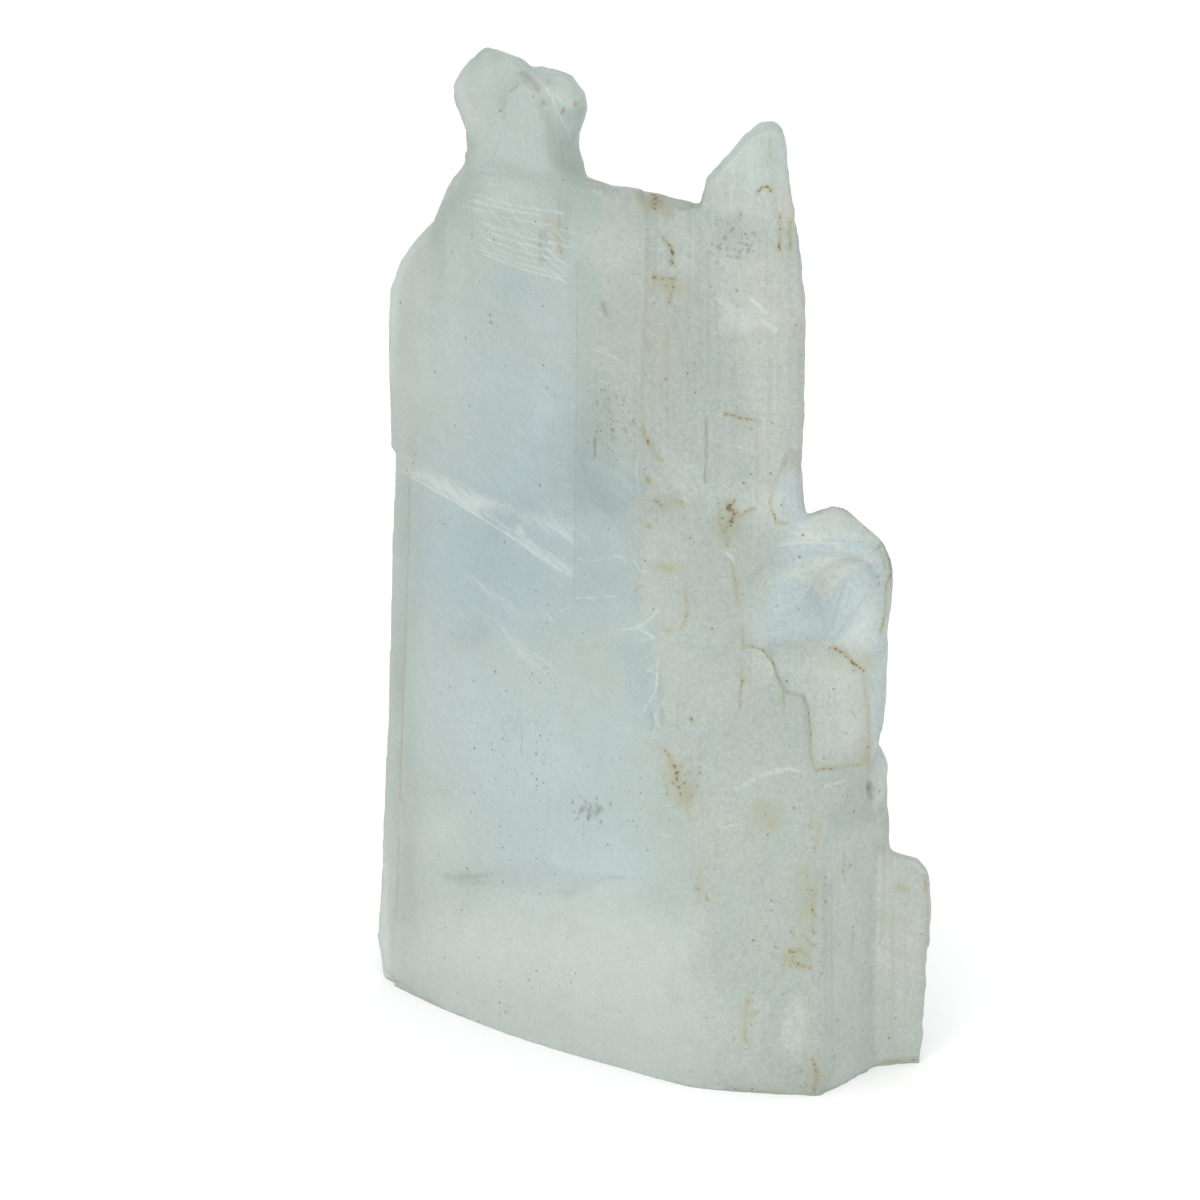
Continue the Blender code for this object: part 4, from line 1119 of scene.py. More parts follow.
# A triangle's corners are 0, 1 and 2, and the new points on the sides after them 3, 4 and 5.
ONE_CUT = [(0, 3, 2), (3, 1, 2)]
TWO_CUTS = [(3, 1, 4), (0, 3, 4), (0, 4, 2)]
TWO_CUTS_OTHER_WAY = [(3, 1, 4), (0, 3, 2), (3, 4, 2)]
THREE_CUTS = [(0, 3, 5), (3, 1, 4), (5, 4, 2), (3, 4, 5)]


def triangles_of(mesh):
    """The three corners of every triangle of a mesh, with larger faces split."""
    mesh.calc_loop_triangles()
    flat = np.empty(len(mesh.loop_triangles) * 3, np.int32)
    mesh.loop_triangles.foreach_get("vertices", flat)
    return flat.reshape(-1, 3)


def split(points, faces, cuts):
    """Split triangles at the new points on their sides; -1 stands for a side that isn't cut."""
    cut = cuts >= 0
    count = cut.sum(axis=1)
    # Each triangle is turned until its cut sides come first.
    first = np.where(count == 1, cut.argmax(axis=1), 0)
    first = np.where(count == 2, (cut.argmin(axis=1) + 1) % 3, first)
    order = (first[:, None] + np.arange(3)) % 3
    six = np.concatenate([np.take_along_axis(faces, order, 1),
                          np.take_along_axis(cuts, order, 1)], axis=1)
    one_way = np.linalg.norm(points[six[:, 0]] - points[six[:, 4]], axis=1)
    other_way = np.linalg.norm(points[six[:, 3]] - points[six[:, 2]], axis=1)
    ways = [(count == 1, ONE_CUT),
            ((count == 2) & (one_way <= other_way), TWO_CUTS),
            ((count == 2) & (one_way > other_way), TWO_CUTS_OTHER_WAY),
            (count == 3, THREE_CUTS)]
    pieces = [faces[count == 0]]
    for here, patterns in ways:
        pieces += [six[here][:, pattern] for pattern in patterns]
    return np.concatenate(pieces)


def cut_near_marks(points, faces, marks, finest, rounds):
    """Cut the long edges beside a list of marks in half, a few times over.

    An edge longer than CUT_LIMIT / CUT_LENGTHS is cut wherever it is.
    """
    for turn in range(rounds):
        sides = np.sort(faces[:, [[0, 1], [1, 2], [2, 0]]], axis=2).reshape(-1, 2)
        edges, edge_of_side = np.unique(sides, axis=0, return_inverse=True)
        middle = (points[edges[:, 0]] + points[edges[:, 1]]) / 2
        length = np.linalg.norm(points[edges[:, 0]] - points[edges[:, 1]], axis=1)
        long_ones = np.flatnonzero(length > finest)
        wanted = np.zeros(len(long_ones), bool)
        for width, _, spots in marks:
            reach = width * CUT_WIDTHS + CUT_LENGTHS * length[long_ones]
            wanted |= distance_to(middle[long_ones], spots, width * CUT_WIDTHS + CUT_LIMIT) < reach
        chosen = long_ones[wanted]
        new_points = np.full(len(edges), -1)
        new_points[chosen] = len(points) + np.arange(len(chosen))
        points = np.concatenate([points, middle[chosen]])
        faces = split(points, faces, new_points[edge_of_side].reshape(-1, 3))
        print("round", turn, "cut", len(chosen), "edges:", len(faces), "faces")
    return points, faces


points, faces = points_of(mesh), triangles_of(mesh)
points, faces = cut_near_marks(points, faces, sum(seen.values(), []), FINEST, 4)
points, faces = cut_near_marks(points, faces, sum(out_of_view.values(), []), FINEST_HIDDEN, 3)
mesh.clear_geometry()
mesh.from_pydata((points * MM).tolist(), [], faces.tolist())

# %% [markdown]
# ## Marks as values
#
# Each kind of mark becomes one value per point, 1 on its trail and falling evenly to 0. The trails
# are measured from slightly pushed points, so their edges wander like real stains. Cracks follow
# the crystal's flat sheets and stay nearly straight. A wash is a wide, weak area of one kind, laid
# in beside its marks. The shader breaks the value up further, at a size that no mesh could hold.

# %% Marks as values
points = points_of(mesh)
wandering = points + 0.22 * grain3(points, 1.6, 40) + 0.10 * grain3(points, 0.6, 44)
nearly_straight = points + 0.06 * grain3(points, 1.6, 40)


def strength_of(marks, spots_of_mesh, spread, rim):
    """The strongest mark at each point; `rim` is the least reach, in millimetres."""
    value = np.zeros(len(points))
    for width, strength, spots in marks:
        reach = max(width * spread, rim)
        distance = distance_to(spots_of_mesh, spots, reach)
        value = np.maximum(value, strength * (1.0 - distance / reach))
    return value


place = seen_at(wandering)
# kind: areas of it, each with an amount and a ramp
washes = {
    "crack_and_highlight": [
        (0.60, inside(place, [(396, 464), (420, 468), (448, 480), (486, 497), (504, 502),
                              (490, 511), (480, 508), (484, 519), (470, 511), (447, 497),
                              (422, 483), (396, 470)], 5)),
        (0.62, inside(place, [(492, 522), (520, 536), (545, 552), (573, 568), (573, 580),
                              (545, 564), (515, 541)], 5)),
        (0.40, inside(place, [(397, 448), (440, 472), (486, 496), (540, 512), (573, 528),
                              (573, 544), (530, 526), (486, 514), (440, 490), (397, 466)], 7)),
        (0.32, inside(place, [(450, 562), (490, 583), (526, 608), (556, 612), (573, 600),
                              (573, 610), (556, 624), (520, 620), (484, 600)], 6)),
        (0.32, inside(place, [(468, 602), (500, 620), (530, 644), (562, 676), (548, 684),
                              (510, 656), (486, 630)], 7)),
        (0.26, inside(place, [(470, 198), (560, 214), (574, 244), (572, 270), (530, 262),
                              (470, 232)], 12)),
    ],
    "clay_and_shade": [
        (0.30, inside(place, [(442, 874), (452, 871), (483, 872), (521, 865), (542, 861),
                              (567, 869), (600, 873), (625, 876), (625, 881), (600, 882),
                              (583, 891), (567, 896), (537, 894), (508, 888), (475, 885),
                              (446, 884), (440, 879)], 2.5)),
        (0.42, inside(place, [(538, 229), (549, 228), (549, 262), (538, 264)], 3)),
        (0.32, inside(place, [(557, 197), (571, 200), (572, 256), (557, 252)], 4)),
        (0.26, oval(place, (592, 811), (22, 18), 0.7)),
    ],
    "rust": [
        (0.80, oval(place, (656, 202), (26, 22), 1.0)),
        (0.60, oval(place, (668, 286), (30, 14), 1.0)),
        (0.62, oval(place, (684, 792), (24, 24), 1.0)),
        (0.55, oval(place, (674, 770), (18, 20), 1.0)),
        (0.30, oval(place, (664, 750), (12, 10), 1.0)),
        (0.45, oval(place, (767, 816), (34, 26), 1.0)),
        (0.42, oval(place, (728, 522), (22, 32), 1.0)),
        (0.34, oval(place, (556, 226), (18, 18), 1.0)),
        (0.45, oval(place, (670, 503), (30, 16), 1.0)),
        (0.38, oval(place, (806, 900), (20, 60), 1.0)),
        (0.40, oval(place, (796, 956), (30, 20), 1.0)),
        (0.34, oval(place, (848, 660), (44, 18), 1.0)),
        (0.40, oval(place, (815, 1070), (16, 26), 1.0)),
        (0.30, oval(place, (745, 1020), (16, 40), 1.0)),
        (0.30, oval(place, (676, 566), (30, 10), 1.0)),
        (0.26, oval(place, (664, 360), (10, 80), 1.0)),
        (0.26, oval(place, (700, 888), (12, 30), 1.0)),
        (0.22, oval(place, (740, 418), (24, 8), 1.0)),
    ],
}
values = {"crack_and_highlight": strength_of(seen["crack_and_highlight"] + out_of_view["crack_and_highlight"], nearly_straight, 0.9, 0.42),
          "rust": strength_of(seen["rust"] + out_of_view["rust"], wandering, 1.2, 0.62),
          "clay_and_shade": strength_of(seen["clay_and_shade"] + out_of_view["clay_and_shade"], wandering, 1.0, 0.5)}
turned_to_view = ease(normals_of(mesh) @ np.array(toward), 0.0, 0.3)
for kind, areas in washes.items():
    for amount, ramp in areas:
        values[kind] = np.maximum(values[kind], amount * ramp * turned_to_view)


def keep_value(mesh, name, values):
    """Store one value for each point, from 0 to 1, where the shader can read it."""
    layer = mesh.attributes.new(name, "FLOAT", "POINT")
    layer.data.foreach_set("value", np.clip(values, 0.0, 1.0).astype(np.float32))


for kind, value in values.items():
    keep_value(mesh, kind, value)
    print(kind, "is on", int((value > 0.05).sum()), "points")

# %% [markdown]
# ## Cloudy zones, and painted light and shade
#
# The clear inside of the broad face looks blue, fine cracks make a white cloud below it, the
# foot is creamy, and the right side is frosted to a warm grey. Some zones are painted light and
# shade: cream lifts the left rim, the back sliver, the block's foot and the neck where they lie in
# shade, cream paints highlights on the lit planes of the bulge and the ledge over the block, and
# the clear tone paints shade in the bulge's hollows. Each zone is a named area with an amount.
# Zones of one kind share one value, and the shader gives the kind its tone.

# %% Zones in view
normals = normals_of(mesh)
in_view = ease(normals @ np.array(toward), -0.25, 0.05)
spot = seen_at(points + 1.4 * grain3(points, 9.0, 50) + 0.8 * grain3(points, 3.0, 54))
plain_spot = seen_at(points)
# name: (amount, ramp)
zones = {
    "clear": {
        "middle": (0.60, inside(spot, [(402, 474), (500, 420), (575, 410), (575, 590), (640, 600),
                                       (560, 650), (440, 640), (405, 600)], 50)),
        "deepest": (0.70, oval(spot, (505, 560), (104, 80), 1.0)),
        "upper face": (0.40, oval(spot, (500, 380), (130, 130), 1.0)),
        "blue patch": (0.60, oval(spot, (514, 286), (34, 30), 1.0)),
        "strip": (0.50, inside(spot, [(576, 470), (640, 460), (636, 600), (576, 600)], 24)),
        "inner corner": (0.55, inside(spot, [(622, 645), (660, 640), (655, 745), (632, 720)], 14)),
    },
    "cloud": {
        "beside the strip": (0.45, inside(spot, [(536, 400), (577, 400), (577, 512),
                                                 (536, 512)], 8)),
        "lower face": (0.70, oval(spot, (545, 770), (165, 160), 1.0)),
        "left of the cloud": (0.45, oval(spot, (455, 700), (66, 80), 1.0)),
        "upper right of the face": (0.45, oval(spot, (545, 330), (56, 105), 1.0)),
        "smear band": (0.70, oval(spot, (590, 870), (120, 66), 0.9)),
        "knob": (0.25, inside(spot, [(440, 40), (590, 40), (590, 185), (460, 185)], 14)),
    },
    "frost": {
        "right side": (1.0, inside(spot, [(636, 180), (637, 440), (640, 455), (633, 545),
                                          (632, 600), (660, 640), (655, 745), (690, 830),
                                          (700, 1000), (712, 1105), (990, 1105), (990, 180)], 18)),
        "strip skin": (0.60, inside(spot, [(588, 180), (641, 180), (641, 440), (600, 440),
                                           (585, 330)], 20)),
    },
    "pane_and_shade": {
        # The bulge's four pane areas are painted shade, on its planes that turn from the light.
        "bulge valley": (0.50, inside(spot, [(826, 618), (838, 596), (851, 580), (866, 568),
                                             (885, 567), (874, 586), (851, 614), (834, 640)], 5)),
        "under the crest": (0.42, inside(spot, [(774, 545), (798, 547), (836, 549), (826, 557),
                                                (785, 571), (770, 566)], 4)),
        "right of the crest": (0.40, inside(spot, [(842, 548), (880, 548), (868, 556),
                                                   (846, 562)], 4)),
        "plate shade": (0.35, inside(spot, [(790, 580), (806, 590), (822, 612), (812, 616),
                                            (798, 596)], 4)),
        "window": (0.20, inside(spot, [(708, 416), (757, 424), (757, 500), (708, 490)], 8)),
        "beside the window": (0.30, inside(spot, [(682, 415), (705, 415), (705, 490),
                                                  (690, 488)], 12)),
    },
    "shell": {
        "bulge": (0.80, inside(spot, [(775, 520), (840, 505), (894, 560), (884, 645), (830, 642),
                                      (760, 640), (750, 620), (768, 590), (780, 560)], 12)),
        "plate": (0.60, oval(spot, (786, 606), (34, 28), 0.8)),
        "side edge": (0.60, inside(spot, [(871, 650), (892, 650), (888, 800), (871, 770)], 6)),
        "fin": (0.60, inside(spot, [(785, 462), (803, 470), (803, 525), (776, 521),
                                    (771, 490)], 6)),
        "right rim of the flank": (0.12, inside(spot, [(775, 330), (806, 330), (804, 520),
                                                       (780, 520)], 10)),
    },
    "cream_and_light": {
        "foot": (0.90, inside(spot, [(430, 905), (600, 900), (690, 925), (700, 1100),
                                     (400, 1100)], 44)),
        "foot corner": (0.70, oval(spot, (420, 960), (60, 60), 1.0)),
        "low left": (0.60, oval(spot, (440, 840), (60, 60), 1.0)),
        # left rim: painted light, lifting the left edge that turns away from the lamp.
        "left rim": (0.62, inside(spot, [(370, 250), (436, 180), (424, 430), (408, 470),
                                         (404, 1000), (370, 980)], 12)),
        "spire": (0.30, oval(spot, (752, 165), (36, 50))),
        "flank patches": (0.70, oval(spot, (745, 315), (56, 26), 0.8)),
        "flank top": (0.45, oval(spot, (670, 250), (50, 70), 0.8)),
        "flank middle": (0.20, inside(spot, [(700, 400), (775, 400), (775, 505), (730, 500),
                                             (700, 480)], 24)),
        # shoulder: a painted highlight on the lit top of the ledge over the block.
        "shoulder": (0.20, oval(spot, (785, 790), (86, 28), 0.8)),
        "strip top": (0.40, oval(spot, (612, 245), (44, 76), 1.0)),
        "knob left": (0.15, oval(spot, (480, 95), (34, 50))),
        "bulge crown": (0.40, oval(spot, (830, 522), (60, 26))),
        # neck: painted light, lifting the band of shade at the foot of the knob's neck.
        "neck": (0.60, oval(spot, (508, 192), (78, 44), 1.0)),
        # bulge plane and crest: painted highlights on the lit planes of the bulge.
        "bulge plane": (0.95, inside(spot, [(782, 574), (812, 563), (835, 556), (851, 560),
                                            (880, 552), (884, 560), (851, 573), (830, 600),
                                            (812, 586), (789, 578)], 4)),
        "crest": (0.75, inside(spot, [(801, 522), (835, 508), (866, 527), (885, 542), (839, 543),
                                      (790, 543)], 5)),
        "lower lobe": (0.50, inside(spot, [(853, 616), (884, 582), (882, 615), (870, 644),
                                           (838, 642)], 5)),
        "under the window": (0.55, inside(spot, [(664, 450), (780, 500), (770, 530), (720, 520),
                                                 (664, 490)], 14)),
        "recess": (0.62, inside(spot, [(750, 650), (860, 650), (866, 760), (815, 760),
                                       (790, 700)], 20)),
        "pale facet": (0.50, oval(spot, (797, 1026), (18, 40))),
        # block foot: painted light, lifting the shade near the floor.
        "block foot": (0.45, inside(spot, [(700, 990), (790, 960), (790, 1100), (700, 1100)], 30)),
        "block side": (0.60, inside(spot, [(824, 830), (886, 820), (884, 1100), (824, 1100)], 10)),
        # back sliver: painted light in the sliver's shade.
        "back sliver": (1.0, oval(spot, (881, 778), (12, 36), 0.4)),
    },
    "dull": {
        "under the spire": (0.60, oval(spot, (733, 242), (38, 34), 0.8)),
        "hollow": (0.12, oval(spot, (752, 562), (28, 56), 0.9)),
        "recess edge": (0.25, inside(spot, [(850, 650), (868, 650), (868, 770), (855, 770)], 8)),
        "strip specks": (0.20, oval(spot, (612, 425), (34, 50), 0.9)),
        "strip": (0.28, inside(plain_spot, [(577, 262), (640, 262), (636, 600), (574, 600)], 4)),
        "inner corner": (0.40, inside(spot, [(622, 645), (660, 640), (655, 745), (632, 720)], 14)),
        "terrace": (0.30, inside(spot, [(660, 500), (735, 520), (740, 640), (660, 620)], 24)),
        "knob middle": (0.20, oval(spot, (528, 130), (28, 46))),
    },
}

# %% [markdown]
# Out of view the same seven kinds follow broad clouds of grain, so the back is as varied as the
# front. The two meet where the surface turns away from the camera, over a soft band.

# %% Zones out of view, and all values kept
hidden = 1.0 - in_view
elsewhere = {
    "frost": ease(points[:, 0] + 9.0 * grain(points, 16.0, 71), 24.0, 34.0),
    "clear": ease(grain(points, (26.0, 26.0, 40.0), 72), 0.0, 0.9) * 0.6,
    "pane_and_shade": ease(grain(points, (14.0, 14.0, 34.0), 76), 0.2, 0.8) * 0.4,
    "shell": ease(grain(points, (16.0, 16.0, 28.0), 77), 0.1, 0.7) * 0.7,
    "cloud": ease(grain(points, (24.0, 24.0, 34.0), 73), -0.1, 0.5) * 0.8,
    "cream_and_light": 1.0 - ease(points[:, 2] + 14.0 * grain(points, 20.0, 74), 20.0, 52.0),
    "dull": ease(grain(points, (18.0, 18.0, 60.0), 75), 0.1, 0.9) * 0.4,
}
for kind, areas in zones.items():
    left_out = np.ones(len(points))
    for amount, ramp in areas.values():
        left_out *= 1.0 - amount * ramp
    value = 1.0 - left_out
    keep_value(mesh, kind, value * in_view + elsewhere[kind] * hidden)
    print(kind, "covers", round(float(value.mean()), 2))

# %% [markdown]
# Loose specks of dirt lie all over, and thickly in a few places. Three more values say where the
# surface has growth lines, where the broad face is streaked, and how many specks there are.

# %% Specks and lines
FEWEST_SPECKS = 0.05

# each: (how full of specks, ramp)
speckled = [
    (0.95, oval(spot, (733, 242), (30, 27), 0.7)),
    (0.85, inside(spot, [(597, 385), (640, 385), (638, 450), (597, 475)], 14)),
    (0.80, oval(spot, (592, 811), (18, 17), 0.5)),
    (0.30, oval(spot, (560, 780), (150, 170), 0.8)),
    (0.18, oval(spot, (510, 610), (90, 60), 0.8)),
    (0.14, oval(spot, (600, 1000), (160, 60), 0.8)),
]
specks = np.full(len(points), FEWEST_SPECKS)
for density, mask in speckled:
    specks = np.maximum(specks, density * mask * in_view)
keep_value(mesh, "specks", specks)

upright = upright_part(normals)
flat_front = front_part(normals)
bulge_mask = ball_mask(points, BULGE, BULGE_RADII)
knob_mask = knob_part(points, 192.0, 198.0)
on_flank = ease(points[:, 2], 118.0, 132.0) * ease(points[:, 0], 17.0, 21.0)
on_side = ease(points[:, 0], 54.0, 57.0) * (1.0 - ease(points[:, 2], 66.0, 74.0))
lined = upright * (1.0 - flat_front) * (1.0 - bulge_mask) * (1.0 - knob_mask)
keep_value(mesh, "lined", lined * (0.06 + 0.94 * np.maximum(on_flank, 0.4 * on_side)))
keep_value(mesh, "streaked", flat_front * ease(points[:, 2], 70.0, 110.0) + 0.3 * flat_front)
for face in mesh.polygons:
    face.use_smooth = True

# %% [markdown]
# ## The mineral
#
# Selenite is clear gypsum clouded by countless tiny cracks. One shader does both: a Transmission
# Weight lets half of the light through, bent by gypsum's index of refraction, and the rest comes
# back from the cloudiness as plain colour. Volume Absorption tints what passes through, so the
# thick parts are deeper in colour. The numbers that are the same everywhere are set on their own
# sockets, and everything that changes over the surface is driven by nodes.

# %% A recipe book for nodes
MM_PER_UNIT = 1000.0    # object space counts in metres


def tone(red, green, blue):
    """A colour as a screen shows it, 0 to 255, turned into light."""
    screen = np.array((red, green, blue)) / 255.0
    light = np.where(screen <= 0.04045, screen / 12.92, ((screen + 0.055) / 1.055) ** 2.4)
    return (*light.tolist(), 1.0)


# A Mix node has sockets for numbers and vectors before those for colours.
COLOUR_A, COLOUR_B, COLOUR_OUT = 6, 7, 2


class Recipe:
    """Adds nodes to a material and joins them in the order they are named."""

    def __init__(self, material):
        self.tree = material.node_tree

    def feed(self, socket, value):
        """Join another node's output to a socket, or set the socket to a plain value."""
        if isinstance(value, bpy.types.NodeSocket):
            self.tree.links.new(value, socket)
        else:
            socket.default_value = value

    def add(self, kind, settings=None, **inputs):
        """A new node. Its inputs go by name, with _ for a space, or by number as _0, _1."""
        made = self.tree.nodes.new(kind)
        for name, value in (settings or {}).items():
            setattr(made, name, value)
        for name, value in inputs.items():
            place = int(name[1:]) if name[1:].isdigit() else name.replace("_", " ")
            self.feed(made.inputs[place], value)
        return made

    def maths(self, operation, *values, clamp=False):
        """The outcome of a Math node."""
        made = self.tree.nodes.new("ShaderNodeMath")
        made.operation = operation
        made.use_clamp = clamp
        for socket, value in zip(made.inputs, values):
            self.feed(socket, value)
        return made.outputs[0]

    def plus(self, first, second):
        return self.maths("ADD", first, second)

    def times(self, first, second):
        return self.maths("MULTIPLY", first, second)

    def swing(self, noise, amount):
        """Noise turned into a push of plus or minus half of `amount`."""
        return self.times(self.maths("SUBTRACT", noise, 0.5), amount)

    def value_of(self, name):
        """A value that was kept on the points of the mesh."""
        return self.add("ShaderNodeAttribute", {"attribute_name": name}).outputs["Fac"]

    def place(self, size, stretch=(1.0, 1.0, 1.0), lean=0.0):
        """Object space in cells of `size` millimetres, leaned about Y, longer where stretched."""
        spot = self.tree.nodes.new("ShaderNodeTexCoord").outputs["Object"]
        if lean:
            spot = self.add("ShaderNodeVectorRotate", {"rotation_type": "Y_AXIS"},
                            Vector=spot, Angle=lean).outputs[0]
        scale = tuple(MM_PER_UNIT / size / step for step in stretch)
        return self.add("ShaderNodeVectorMath", {"operation": "MULTIPLY"},
                        _0=spot, _1=scale).outputs[0]

    def cells(self, size, stretch=(1.0, 1.0, 1.0), lean=0.0, detail=2.0, seed=0.0):
        """Noise whose cells are about `size` millimetres."""
        moved = self.add("ShaderNodeVectorMath", {"operation": "ADD"},
                         _0=self.place(size, stretch, lean), _1=(seed, seed, seed)).outputs[0]
        return self.add("ShaderNodeTexNoise", Vector=moved, Scale=1.0, Detail=detail).outputs["Fac"]

    def ramp(self, value, low, high, out_low=0.0, out_high=1.0):
        """A value eased from out_low to out_high while it runs from low to high."""
        made = self.add("ShaderNodeMapRange", {"interpolation_type": "SMOOTHSTEP"}, Value=value)
        limits = {"From Min": low, "From Max": high, "To Min": out_low, "To Max": out_high}
        for name, level in limits.items():
            made.inputs[name].default_value = level
        return made.outputs["Result"]

    def blend(self, share, first, second):
        """The second colour laid over the first by a share."""
        made = self.add("ShaderNodeMix", {"data_type": "RGBA"}, _0=share)
        self.feed(made.inputs[COLOUR_A], first)
        self.feed(made.inputs[COLOUR_B], second)
        return made.outputs[COLOUR_OUT]

    def shaded(self, colour, amount):
        """A colour made lighter or darker by an amount."""
        return self.add("ShaderNodeVectorMath", {"operation": "SCALE"},
                        _0=colour, Scale=amount).outputs[0]


mineral = bpy.data.materials.new("milky_selenite")
mineral.use_nodes = True
recipe = Recipe(mineral)
shader = mineral.node_tree.nodes["Principled BSDF"]

# %% [markdown]
# ### Body colour
#
# The seven zone values lay their tones over the milky one. Noise is added to a value before it is
# cut, so the soft zones drift into one another and the frosted side ends in the ragged line where
# its skin broke away.

# %% Body colour
MILK = tone(186, 197, 190)
CLEAR = tone(172, 190, 197)
CLOUD = tone(197, 211, 213)
# The cream tone is also painted light, where zones lift places in shade or mark lit planes.
CREAM_AND_LIGHT = tone(210, 218, 211)
FROST = tone(188, 198, 190)
FROST_WARM = tone(192, 196, 187)
DULL = tone(172, 182, 172)
SPLIT = -0.47           # how far the crystal's cracks lean from level, in radians

drift = recipe.cells(9.0, detail=3.0, seed=2.0)
mottle = recipe.cells(3.2, detail=3.0, seed=5.0)
crumb = recipe.cells(0.9, detail=2.0, seed=8.0)
fine = recipe.cells(0.45, detail=1.0, seed=9.0)


def zone_share(name, low, high, wide, small=0.0):
    """A zone's value, stirred by wide and small noise, and cut to a share."""
    stirred = recipe.plus(recipe.value_of(name), recipe.swing(drift, wide))
    return recipe.ramp(recipe.plus(stirred, recipe.swing(crumb, small)), low, high)


body = recipe.blend(zone_share("clear", 0.0, 1.0, 0.35), MILK, CLEAR)
body = recipe.blend(zone_share("cloud", 0.0, 0.95, 0.45), body, CLOUD)
warm_share = recipe.ramp(recipe.plus(drift, recipe.swing(mottle, 0.3)), 0.36, 0.64)
frosting = recipe.blend(warm_share, FROST, FROST_WARM)
ragged = recipe.plus(recipe.value_of("frost"), recipe.swing(mottle, 1.1))
frost_share = recipe.ramp(recipe.plus(ragged, recipe.swing(crumb, 0.7)), 0.36, 0.62)
body = recipe.blend(frost_share, body, frosting)
# The pane value is partly painted shade, in the bulge's hollows.
body = recipe.blend(zone_share("pane_and_shade", 0.0, 1.0, 0.3), body, CLEAR)
body = recipe.blend(zone_share("shell", 0.0, 1.0, 0.3), body, CLOUD)
body = recipe.blend(zone_share("cream_and_light", 0.05, 0.95, 0.45, 0.1), body, CREAM_AND_LIGHT)
body = recipe.blend(zone_share("dull", 0.05, 0.95, 0.4, 0.15), body, DULL)
print("tones laid in:", len(mineral.node_tree.nodes), "nodes")

# %% [markdown]
# ### Growth lines and fine streaks
#
# Upright lines come from noise stretched forty times along the crystal. The broad face has fine
# pale streaks that lean the way it splits: the same noise, stretched along the lean. The frosted
# skin has thin curly lines, and those are the places where a noise passes through its middle.

# %% Lines in the colour
STREAK = tone(203, 212, 208)

lining = recipe.cells(1.1, (1.0, 1.0, 40.0), detail=3.0, seed=3.0)
lined = recipe.value_of("lined")
frosted = recipe.value_of("frost")
shade = recipe.plus(1.0, recipe.swing(mottle, 0.16))
shade = recipe.plus(shade, recipe.swing(fine, 0.32))
shade = recipe.plus(shade, recipe.times(recipe.plus(frosted, 0.5), recipe.swing(crumb, 0.28)))
shade = recipe.plus(shade, recipe.times(lined, recipe.swing(lining, 0.28)))
body = recipe.shaded(body, shade)

from_middle = recipe.plus(recipe.maths("SUBTRACT", mottle, 0.5), recipe.swing(crumb, 0.10))
ripple = recipe.maths("ABSOLUTE", from_middle)
skin_lines = recipe.times(recipe.ramp(ripple, 0.0, 0.032, 1.0, 0.0), recipe.ramp(drift, 0.44, 0.58))
body = recipe.blend(recipe.times(skin_lines, recipe.times(frosted, 0.38)), body, CREAM_AND_LIGHT)

streak = recipe.cells(0.8, (22.0, 1.0, 1.0), lean=SPLIT, detail=2.0, seed=6.0)
patches = recipe.ramp(drift, 0.42, 0.62)
streaked = recipe.times(patches, recipe.value_of("streaked"))
streak_share = recipe.times(recipe.ramp(streak, 0.52, 0.72), streaked)
body = recipe.blend(recipe.times(streak_share, 0.40), body, STREAK)

# %% [markdown]
# ### Cracks and painted highlights, clay and painted shade, and rust
#
# A mark's value falls from its middle to its edge. Noise is added before the cut, so a crack gets
# a broken edge, and a stain breaks into spots with an ochre rim and a dark heart. Loose specks
# are one dot in each cell of a Voronoi texture, kept only where the cell's number is low enough.

# %% Marks in the colour
# The crack white is also painted highlight: glints, the lit planes of the bulge and the lit ledge
# top.
CRACK_AND_HIGHLIGHT_WHITE = tone(217, 224, 219)
# The clay grey is also painted shade: the shadow on the window's left edge and the shade in the
# bulge's valley and under its crest.
CLAY_AND_SHADE = tone(120, 130, 128)
SPECK = tone(112, 122, 122)
OCHRE = tone(180, 168, 120)
RUST = tone(112, 88, 50)


def where_marked(value):
    """1 where there is a mark, falling to 0 just where it ends."""
    return recipe.maths("MULTIPLY", value, 5.0, clamp=True)


def stirred(name, *noises):
    """A mark's value with pairs of noise and amount added, but only where there is a mark."""
    value = recipe.value_of(name)
    total = recipe.swing(*noises[0])
    for noise, amount in noises[1:]:
        total = recipe.plus(total, recipe.swing(noise, amount))
    return recipe.plus(value, recipe.times(where_marked(value), total))


def speckle(size, radius, density):
    """Round specks: at most one in each cell, there if the cell's number is under the density."""
    cell = recipe.add("ShaderNodeTexVoronoi", Vector=recipe.place(size), Scale=1.0)
    number = recipe.add("ShaderNodeSeparateColor", Color=cell.outputs["Color"])
    there = recipe.maths("LESS_THAN", number.outputs[0], density)
    reach = recipe.times(recipe.plus(number.outputs[1], 0.45), radius / size)
    dot = recipe.ramp(recipe.maths("DIVIDE", cell.outputs["Distance"], reach), 0.45, 1.1, 1.0, 0.0)
    boldness = recipe.plus(number.outputs[2], 0.2)
    return recipe.maths("MULTIPLY", recipe.times(dot, there), boldness, clamp=True)


clay_and_shade_share = recipe.ramp(stirred("clay_and_shade", (crumb, 0.4), (fine, 0.5)), 0.08, 0.95, 0.0, 0.82)
painted = recipe.blend(clay_and_shade_share, body, CLAY_AND_SHADE)
crack_and_highlight_share = recipe.ramp(stirred("crack_and_highlight", (streak, 0.9), (fine, 0.4)), 0.12, 0.80, 0.0, 0.88)
painted = recipe.blend(crack_and_highlight_share, painted, CRACK_AND_HIGHLIGHT_WHITE)

density = recipe.value_of("specks")
small_dots = speckle(1.1, 0.30, density)
large_dots = speckle(3.6, 0.44, recipe.times(density, 0.5))
dots = recipe.maths("MAXIMUM", small_dots, large_dots)
painted = recipe.blend(recipe.times(dots, 0.85), painted, SPECK)

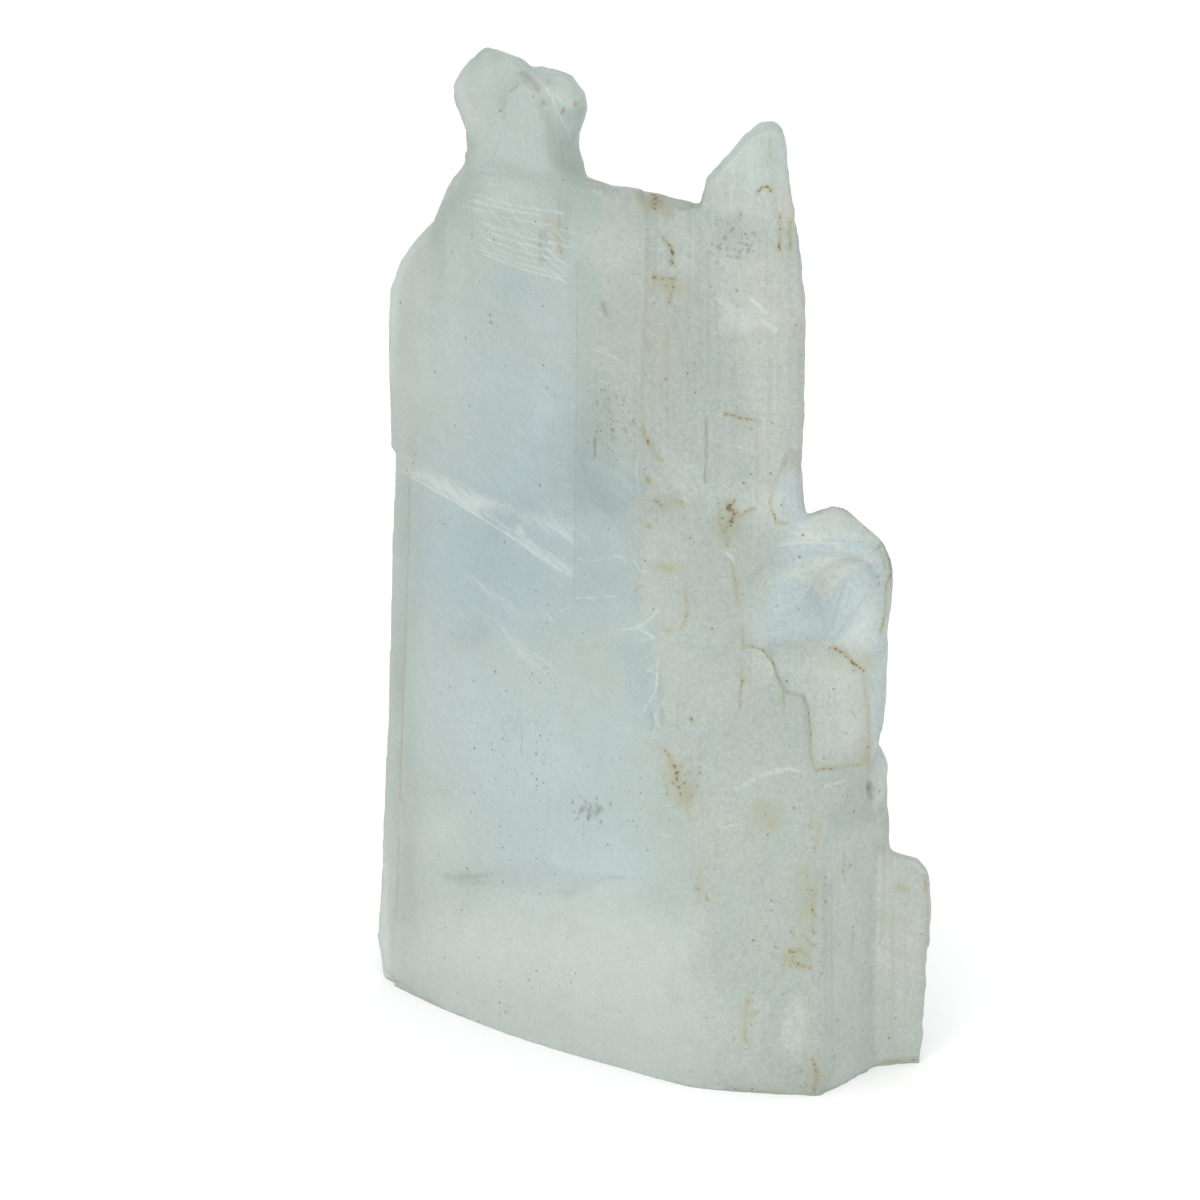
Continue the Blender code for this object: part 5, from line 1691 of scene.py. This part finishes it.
ochre_share = recipe.ramp(stirred("rust", (crumb, 0.8), (mottle, 0.8)), -0.10, 0.95, 0.0, 0.78)
rust_there = where_marked(recipe.value_of("rust"))
painted = recipe.blend(recipe.times(ochre_share, rust_there), painted, OCHRE)
rust_share = recipe.ramp(stirred("rust", (fine, 1.4), (crumb, 1.4)), 0.70, 0.98, 0.0, 0.90)
painted = recipe.blend(rust_share, painted, RUST)
recipe.feed(shader.inputs["Base Color"], painted)
print("marks laid in:", len(mineral.node_tree.nodes), "nodes")

# %% [markdown]
# ### Gloss, light inside, and the feel of the surface
#
# Cleaved faces are pearly and frosted ones dull, so the roughness follows the frost. The bump only
# carries what is finer than the mesh: threads along the growth lines and a tiny etched grain.

# %% Gloss and depth
GYPSUM_IOR = 1.525
LIGHT_THROUGH = 0.5                     # the share of the light that passes into the mineral
PEARLY_ROUGHNESS = 0.38
FROST_ROUGHNESS = 0.18                  # what the frost adds
BUMP_HEIGHT = 0.00015                   # metres
DEPTH_TINT = (0.78, 0.90, 0.88, 1.0)
DEPTH_DENSITY = 9.0                     # how fast the tint grows, per metre

rough = recipe.plus(PEARLY_ROUGHNESS, recipe.times(frosted, FROST_ROUGHNESS))
rough = recipe.plus(rough, recipe.swing(mottle, 0.14))
recipe.feed(shader.inputs["Roughness"], recipe.plus(rough, recipe.times(crack_and_highlight_share, -0.04)))
shader.inputs["IOR"].default_value = GYPSUM_IOR
shader.inputs["Transmission Weight"].default_value = LIGHT_THROUGH

etch = recipe.cells(0.35, detail=1.0, seed=13.0)
etched = recipe.times(etch, recipe.plus(recipe.times(frosted, 0.8), 0.2))
threads = recipe.times(recipe.cells(0.4, (1.0, 1.0, 60.0), detail=1.0, seed=14.0), lined)
bump = recipe.add("ShaderNodeBump", Strength=0.4, Distance=BUMP_HEIGHT,
                  Height=recipe.plus(etched, threads))
recipe.feed(shader.inputs["Normal"], bump.outputs[0])

depth = recipe.add("ShaderNodeVolumeAbsorption", Color=DEPTH_TINT, Density=DEPTH_DENSITY)
recipe.feed(mineral.node_tree.nodes["Material Output"].inputs["Volume"], depth.outputs[0])
mesh.materials.clear()
mesh.materials.append(mineral)
print("the mineral has", len(mineral.node_tree.nodes), "nodes")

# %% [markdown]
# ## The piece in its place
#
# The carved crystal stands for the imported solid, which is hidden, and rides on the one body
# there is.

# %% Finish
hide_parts("selenite_slab")
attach(crystal, "root")
